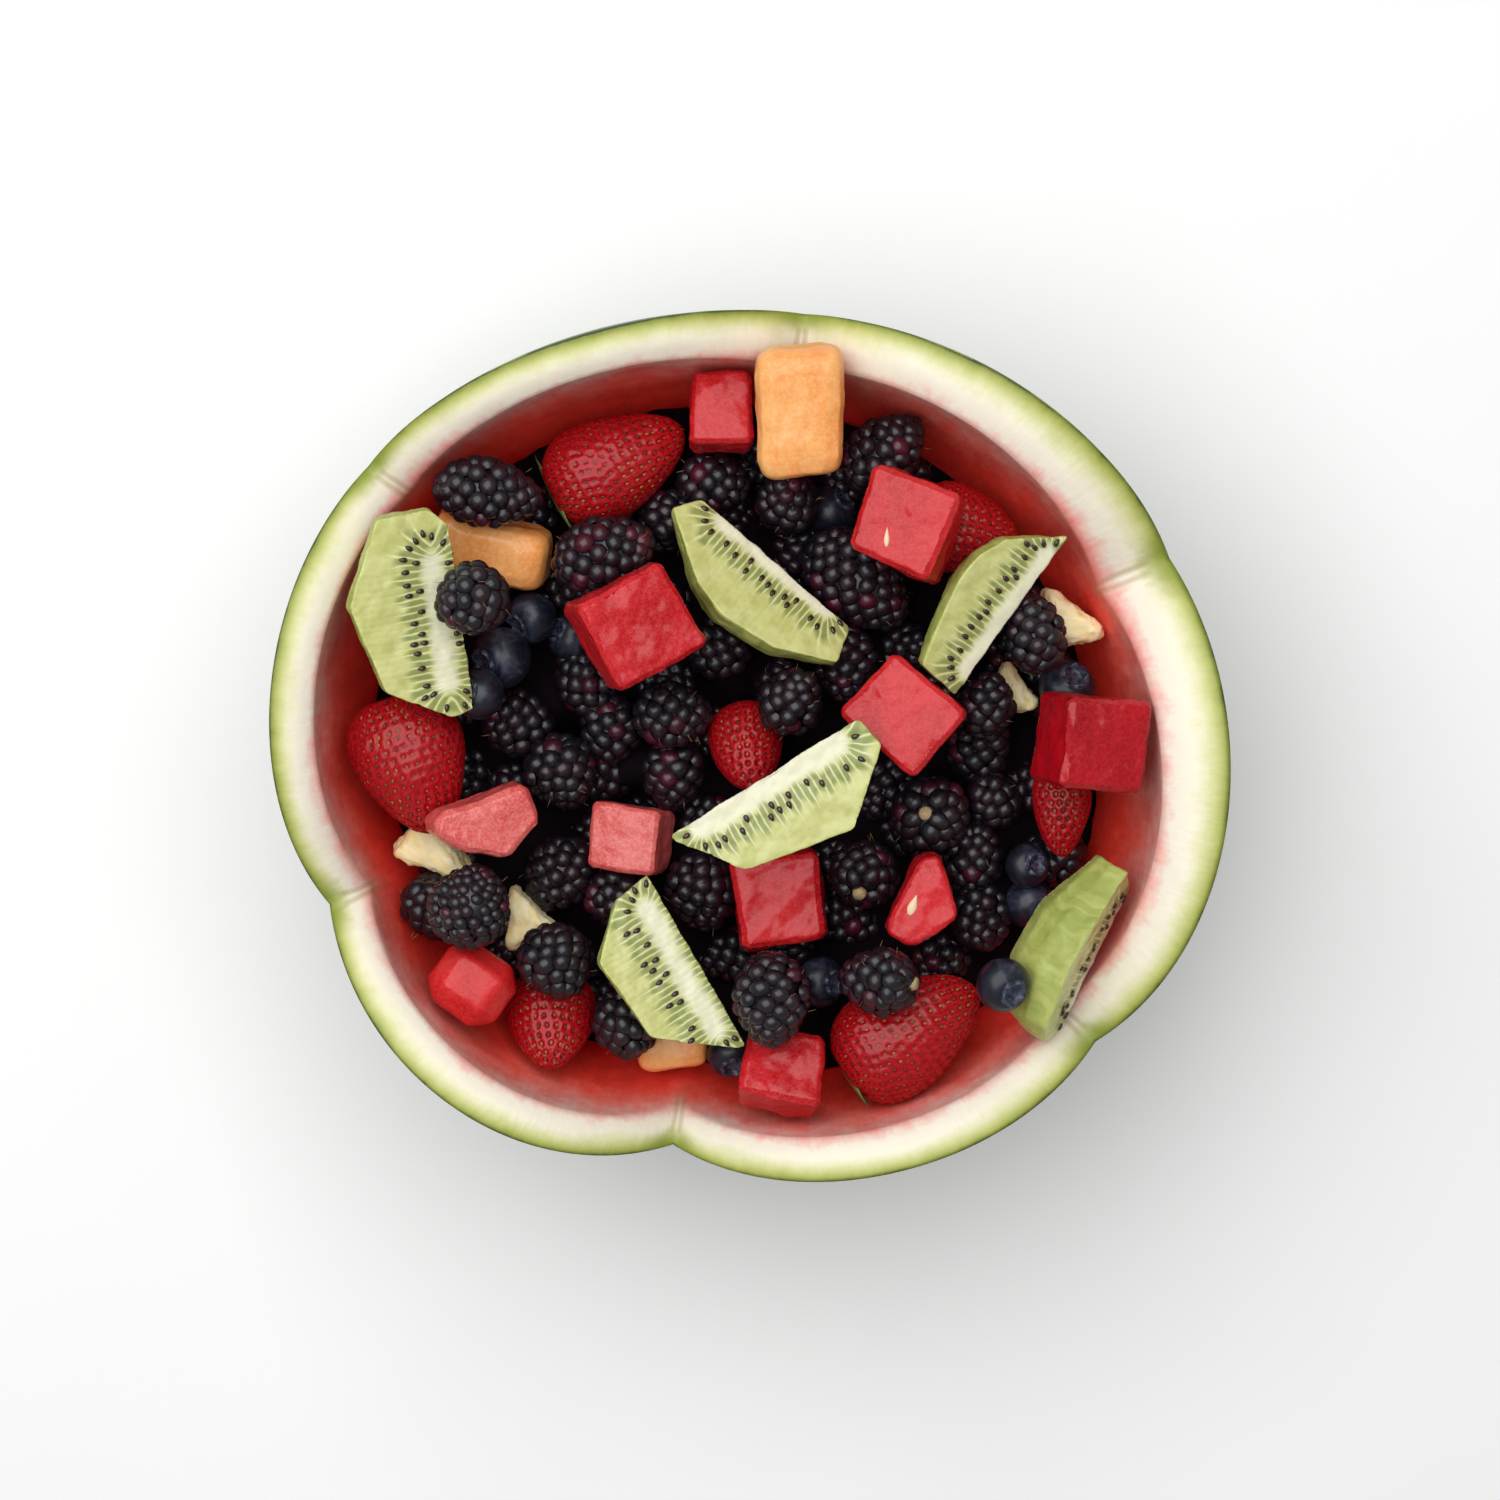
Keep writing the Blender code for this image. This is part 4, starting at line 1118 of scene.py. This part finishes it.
WET = {"Roughness": 0.28, "IOR": 1.35, "Coat_Weight": 0.12, "Coat_Roughness": 0.1}
STRANDS = (1.0, 0.35, 0.5)
melon_red = cut_fruit("melon_red", (176, 8, 18), (204, 30, 38), (220, 84, 86), 1700.0, 0.26, 0.14, STRANDS, **WET)
melon_pale = cut_fruit("melon_pale", (198, 58, 60), (216, 96, 92), (232, 146, 138), 1500.0, 0.45, 0.14, STRANDS, **WET)
melon_crimson = cut_fruit("melon_crimson", (138, 2, 14), (178, 10, 26), (200, 50, 58), 1700.0, 0.3, 0.12, STRANDS,
                          **WET)
melon_smooth = cut_fruit("melon_smooth", (184, 12, 18), (208, 34, 36), (224, 88, 84), 1700.0, 0.25, 0.1, STRANDS,
                         **WET)
cantaloupe_flesh = cut_fruit("cantaloupe_flesh", (236, 146, 70), (247, 180, 108), (252, 212, 158), 1200.0, 0.25, 0.08,
                             (1.0, 0.25, 0.7), **WET)
MELON_FINISH = {"melon_cube_05": melon_pale, "melon_cube_06": melon_pale, "melon_cube_08": melon_crimson,
                "melon_cube_01": melon_smooth}
print("cut fruit finishes:", len(bpy.data.materials))

# %% [markdown]
# Pineapple has its own: long fibres run through it, paler than the flesh between them, so
# the colours are read from a noise that is drawn out along the piece.

# %% Pineapple finish
pineapple_flesh, tree, shader = new_finish("pineapple_flesh", Roughness=0.4, IOR=1.38, Coat_Weight=0.1,
                                           Coat_Roughness=0.25, Subsurface_Weight=0.2,
                                           Subsurface_Radius=(1.0, 0.8, 0.3), Subsurface_Scale=3 * MM)
strands = clouds(tree, stretched(tree, stored(tree, "fibre_space", "Vector"), 0.16, 1.0, 1.0), 0.9, 4.0, 0.6, 0.4)
tone = clouds(tree, place_on(tree), 70.0, 3.0)
flesh = blend(tree, spread(tree, tone, 0.3, 0.7), paint(252, 226, 148), paint(255, 240, 188))
flesh = blend(tree, spread(tree, strands, 0.42, 0.66, 0.0, 0.8), flesh, paint(252, 242, 212))
flesh = blend(tree, spread(tree, strands, 0.42, 0.25, 0.0, 0.35), flesh, paint(224, 180, 92))
tree.links.new(flesh, shader.inputs["Base Color"])
raise_surface(tree, shader, strands, 0.35, 0.7 * MM)

# %% Torn pieces
# depth of the tears, their size and the softening of the edges, in mm, mm and rounds
TEARS = {"melon_cube": (0.8, 10.0, 2), "cantaloupe": (0.6, 12.0, 8), "pineapple": (1.0, 4.5, 2)}
PLUMP = {"pineapple": 1.2 * MM, "cantaloupe": 0.4 * MM}     # a soft offcut swells out over its solid
CUT_MESH = 1.25 * MM


def torn_piece(node, depth, size, rounds, seed, plump=0):
    """A solid's shape with worn edges and torn faces, a touch inside the solid."""
    bm = solid_copy(node)
    middle, directions, sizes = spread_of([vert.co for vert in bm.verts])
    refine(bm, CUT_MESH)
    soften(bm, rounds)
    along = bm.verts.layers.float_vector.new("fibre_space")
    for vert in bm.verts:
        away = vert.co - middle
        vert[along] = Vector([away.dot(direction) / MM for direction in directions])
    bm.normal_update()
    for vert in bm.verts:
        vert.co += vert.normal * plump
    roughen(bm, depth, size, seed)
    roughen(bm, depth * 0.13, size * 0.2, seed + 1)
    return bm


triangles = 0
for kind, (depth, size, rounds) in TEARS.items():
    for number, node in enumerate(nodes_of[kind]):
        if kind == "melon_cube":
            finish = MELON_FINISH.get(node, melon_red)
        else:
            finish = cantaloupe_flesh if kind == "cantaloupe" else pineapple_flesh
        if node == "melon_cube_01":
            bm = torn_piece(node, 0.3, 9.0, 7, number)
        else:
            bm = torn_piece(node, depth, size, rounds, number + 10 * rounds, PLUMP.get(kind, 0))
        triangles += len(bm.faces)
        finish_piece(node + "_torn", bm, (finish,), [node])
print("cut fruit:", triangles, "faces")

# %% [markdown]
# ## Kiwi wedges
# A wedge is an eighth to a quarter of a peeled kiwi. Everything in it is laid out round the
# fruit's core: a cream core, pale rays that run outwards from it, dark seeds in a ring at
# the ends of the rays, and plain green flesh up to the peel. So the core's place is found
# on the solid first: it lies along the edge where the two big cut faces meet. Each point
# then keeps its distance from the core, its place along it, and its turn round it, and the
# finish draws the rays with those three numbers on every face at once, just as the real
# one does when it is cut at any angle.

# %% Finish of the kiwi
RAYS_APART = 1.9                # mm along the core
kiwi_flesh, tree, shader = new_finish("kiwi_flesh", Roughness=0.3, IOR=1.38, Coat_Weight=0.2, Coat_Roughness=0.15,
                                      Subsurface_Weight=0.2, Subsurface_Radius=(0.7, 1.0, 0.3),
                                      Subsurface_Scale=2.5 * MM)
core_space = add(tree, "SeparateXYZ", Vector=stored(tree, "core_space", "Vector"))
from_core, round_core = core_space.outputs["X"], core_space.outputs["Y"]
bent = sums(tree, "SUBTRACT", clouds(tree, place_on(tree), 95.0, 3.0, 0.6), 0.5)
uneven = sums(tree, "MULTIPLY_ADD", bent, 3.4, from_core)
flesh = blend(tree, spread(tree, clouds(tree, place_on(tree), 170.0, 4.0, 0.65), 0.3, 0.7), paint(188, 190, 112),
              paint(208, 209, 142))
phase = sums(tree, "MULTIPLY_ADD", bent, 3.4, sums(tree, "MULTIPLY", round_core, pi / RAYS_APART))
between = sums(tree, "ABSOLUTE", sums(tree, "SINE", phase))
ends = sums(tree, "MULTIPLY_ADD", sums(tree, "SINE", sums(tree, "MULTIPLY", phase, 0.73)), 1.3, uneven)
chamber = sums(tree, "MULTIPLY", spread(tree, ends, 3.0, 4.6), spread(tree, ends, 11.5, 8.6))
green = blend(tree, sums(tree, "MULTIPLY", chamber, spread(tree, between, 0.25, 0.75, 0.12, 0.82)), flesh,
              paint(126, 138, 74))
ray = sums(tree, "MULTIPLY", spread(tree, between, 0.42, 0.04, 0.0, 0.8), spread(tree, ends, 14.5, 9.0))
green = blend(tree, ray, green, paint(222, 224, 176))
green = blend(tree, spread(tree, uneven, 5.0, 2.0), green, paint(230, 229, 198))
tree.links.new(green, shader.inputs["Base Color"])
raise_surface(tree, shader, between, 0.15, 0.4 * MM)

peeled_side, tree, shader = new_finish("kiwi_peeled_side", Roughness=0.42, IOR=1.38, Coat_Weight=0.1,
                                       Coat_Roughness=0.2, Subsurface_Weight=0.15,
                                       Subsurface_Radius=(0.7, 1.0, 0.3), Subsurface_Scale=2 * MM)
veins = clouds(tree, stretched(tree, stored(tree, "core_space", "Vector"), 1.0, 0.16, 1.0), 0.8, 4.0, 0.65, 0.5)
green = blend(tree, spread(tree, veins, 0.32, 0.68), paint(152, 164, 80), paint(182, 190, 108))
green = blend(tree, spread(tree, clouds(tree, place_on(tree), 90.0, 3.0), 0.55, 0.72, 0.0, 0.3), green,
              paint(128, 120, 58))
tree.links.new(green, shader.inputs["Base Color"])
raise_surface(tree, shader, veins, 0.2, 0.5 * MM)

kiwi_seed_finish, tree, shader = new_finish("kiwi_seed", Roughness=0.25, Coat_Weight=0.3, Coat_Roughness=0.1)
tree.links.new(blend(tree, clouds(tree, place_on(tree), 400.0), paint(22, 14, 12), paint(70, 40, 28)),
               shader.inputs["Base Color"])
raise_surface(tree, shader, clouds(tree, place_on(tree), 900.0), 0.15, 0.1 * MM)
print("kiwi finishes ready")

# %% Where the core of a wedge lies
KIWI_CORE_IN = {                # mm from the wedge's inner edge to the fruit's own core
    "kiwi_wedge_01": 6, "kiwi_wedge_02": 1.5, "kiwi_wedge_03": 0.5, "kiwi_wedge_04": 3, "kiwi_wedge_05": 2,
    "kiwi_wedge_06": 7,
}
CORE_ENDS = 9 * MM              # the core stops this far from the wedge's ends
ROUND_END = 6.5                 # a quarter turn round an end counts as this many mm, times pi / 2


def wedge_core(bm, core_in):
    """Both ends of the core, the way across it, and the two cut faces as (normal, point)."""
    plain = bm.copy()
    bmesh.ops.dissolve_limit(plain, angle_limit=radians(2), verts=plain.verts, edges=plain.edges)
    plain.normal_update()
    faces = sorted(plain.faces, key=lambda face: face.calc_area(), reverse=True)[:2]
    shared = [edge for edge in faces[0].edges if edge in faces[1].edges]
    edge = max(shared, key=lambda edge: edge.calc_length())
    start, end = (vert.co.copy() for vert in edge.verts)
    inwards = -(faces[0].normal + faces[1].normal).normalized()
    cuts = [(face.normal.copy(), face.calc_center_median()) for face in faces]
    plain.free()
    shift = inwards * core_in * MM
    way = (end - start).normalized()
    return start + shift + way * CORE_ENDS, end + shift - way * CORE_ENDS, inwards, cuts


def core_numbers(point, start, end):
    """Distance from the core and place along it, in mm. The place runs on round its ends."""
    way = (end - start).normalized()
    along = min(max((point - start).dot(way), 0), (end - start).length)
    nearest = start + way * along
    past = (point - start).dot(way) - along
    beside = (point - nearest - way * past).length
    return Vector(((point - nearest).length / MM, along / MM + atan2(past, beside) * ROUND_END, 0))

# %% Wedges with their seeds
KIWI_MESH = 1.3 * MM
KIWI_SEED_RING = (4.8 * MM, 8.6 * MM)
kiwi_seed = seed_bead(2.6 * MM, 1.55 * MM, 1.2 * MM)


def kiwi_seeds(bm, start, end, cuts, rng):
    """Stamp seeds on the cut faces, in a band round the core, each pointing away from it."""
    way = (end - start).normalized()
    skin = BVHTree.FromBMesh(bm)
    made = 0
    for normal, on_face in cuts:
        across = way.cross(normal).normalized()
        base = start - normal * (start - on_face).dot(normal)
        depth_below = abs((start - on_face).dot(normal))
        taken = []
        for _ in range(420):
            spot = base + way * rng.uniform(-14 * MM, (end - start).length + 14 * MM)
            spot += across * rng.uniform(-16 * MM, 16 * MM)
            reach_out = core_numbers(spot, start, end).x * MM
            if not KIWI_SEED_RING[0] < reach_out < KIWI_SEED_RING[1] + 0.2 * depth_below:
                continue
            if any((spot - other).length < 2.5 * MM for other in taken):
                continue
            hit = skin.find_nearest(spot)
            if hit[3] > 0.9 * MM or hit[1].dot(normal) < 0.9:
                continue
            rim = all((skin.find_nearest(spot + step * 1.9 * MM)[0] - spot - step * 1.9 * MM).length < 0.9 * MM
                      for step in (way, -way, across, -across))
            if not rim:
                continue
            taken.append(spot)
            along = min(max((spot - start).dot(way), 0), (end - start).length)
            ray = spot - (start + way * along)
            ray = (ray - normal * ray.dot(normal)).normalized()
            turned = Matrix((ray, normal.cross(ray), normal)).transposed().to_4x4()
            before = len(bm.faces)
            stamp(bm, kiwi_seed, Matrix.Translation(hit[0] + normal * rng.uniform(-0.1, 0.25) * MM) @ turned)
            bm.faces.ensure_lookup_table()
            for index in range(before, len(bm.faces)):
                bm.faces[index].material_index = 2
            made += 1
    return made


for number, node in enumerate(nodes_of["kiwi_wedge"]):
    bm = solid_copy(node)
    start, end, inwards, cuts = wedge_core(bm, KIWI_CORE_IN[node])
    bm.normal_update()
    for face in bm.faces:
        on_cut = any(face.normal.dot(normal) > 0.985 and abs((face.calc_center_median() - point).dot(normal)) < 0.4 * MM
                     for normal, point in cuts)
        face.material_index = 0 if on_cut or (face.calc_center_median() - start).dot(inwards) < 2 * MM else 1
    refine(bm, KIWI_MESH)
    soften(bm, 3)
    roughen(bm, 0.45, 6.0, number, 0.3)
    numbers = bm.verts.layers.float_vector.new("core_space")
    for vert in bm.verts:
        vert[numbers] = core_numbers(vert.co, start, end)
    made = kiwi_seeds(bm, start, end, cuts, random.Random(number))
    finish_piece(node + "_seeded", bm, (kiwi_flesh, peeled_side, kiwi_seed_finish), [node])
    print(node, made, "seeds")

# %% [markdown]
# ## Pale seeds in the melon
# Two cubes show a soft white seed in their upper face, shaped like a drop. Each is a small
# bead, drawn out to a point and half sunk into the flesh.

# %% Pale melon seeds
pale_seed, tree, shader = new_finish("pale_melon_seed", Roughness=0.45, Subsurface_Weight=0.2,
                                     Subsurface_Scale=1 * MM)
tree.links.new(blend(tree, clouds(tree, place_on(tree), 260.0), paint(232, 190, 150), paint(250, 232, 206)),
               shader.inputs["Base Color"])
raise_surface(tree, shader, clouds(tree, place_on(tree), 500.0), 0.15, 0.2 * MM)
PALE_SEEDS = (                  # on which cube, x and y, length and width in mm, heading
    ("melon_cube_10", 37.5, 58.4, 5.5, 1.7, 88), ("melon_cube_04", 45.8, -45.2, 6.2, 2.8, 70),
)
for node, x, y, length, width, heading in PALE_SEEDS:
    spot, normal, _, _ = solid_tree(node).ray_cast(Vector((x * MM, y * MM, 0.3)), Vector((0, 0, -1)))
    forward = polar(heading, 1, 0)
    forward = (forward - normal * forward.dot(normal)).normalized()
    bm = bmesh.new()
    bmesh.ops.create_uvsphere(bm, u_segments=20, v_segments=12, radius=0.5)
    for vert in bm.verts:
        vert.co.y *= 1 - 0.75 * max(vert.co.x + 0.1, 0) / 0.6
        vert.co.z *= 1 - 0.5 * max(vert.co.x + 0.1, 0) / 0.6
    bmesh.ops.scale(bm, vec=(length * MM, width * MM, 1.6 * MM), verts=bm.verts)
    turned = placed_at(spot - normal * 0.45 * MM, forward, normal.cross(forward))
    bmesh.ops.transform(bm, matrix=turned, verts=bm.verts)
    finish_piece(node + "_pale_seed", bm, (pale_seed,))
print(len(PALE_SEEDS), "pale seeds")

# %% [markdown]
# ## Table
# The table is a plain white plane. The dressed model may not grow past the solids.

# %% Table
floor_finish, tree, shader = new_finish("white_table", Roughness=0.7)
tree.links.new(blend(tree, clouds(tree, place_on(tree), 8.0), paint(250, 250, 250), paint(255, 255, 255)),
               shader.inputs["Base Color"])
bm = bmesh.new()
bmesh.ops.create_grid(bm, x_segments=2, y_segments=2, size=2.5)
floor_mesh = bpy.data.meshes.new("table")
bm.to_mesh(floor_mesh)
bm.free()
floor_mesh.materials.append(floor_finish)
floor = bpy.data.objects.new("table", floor_mesh)
scene.collection.objects.link(floor)
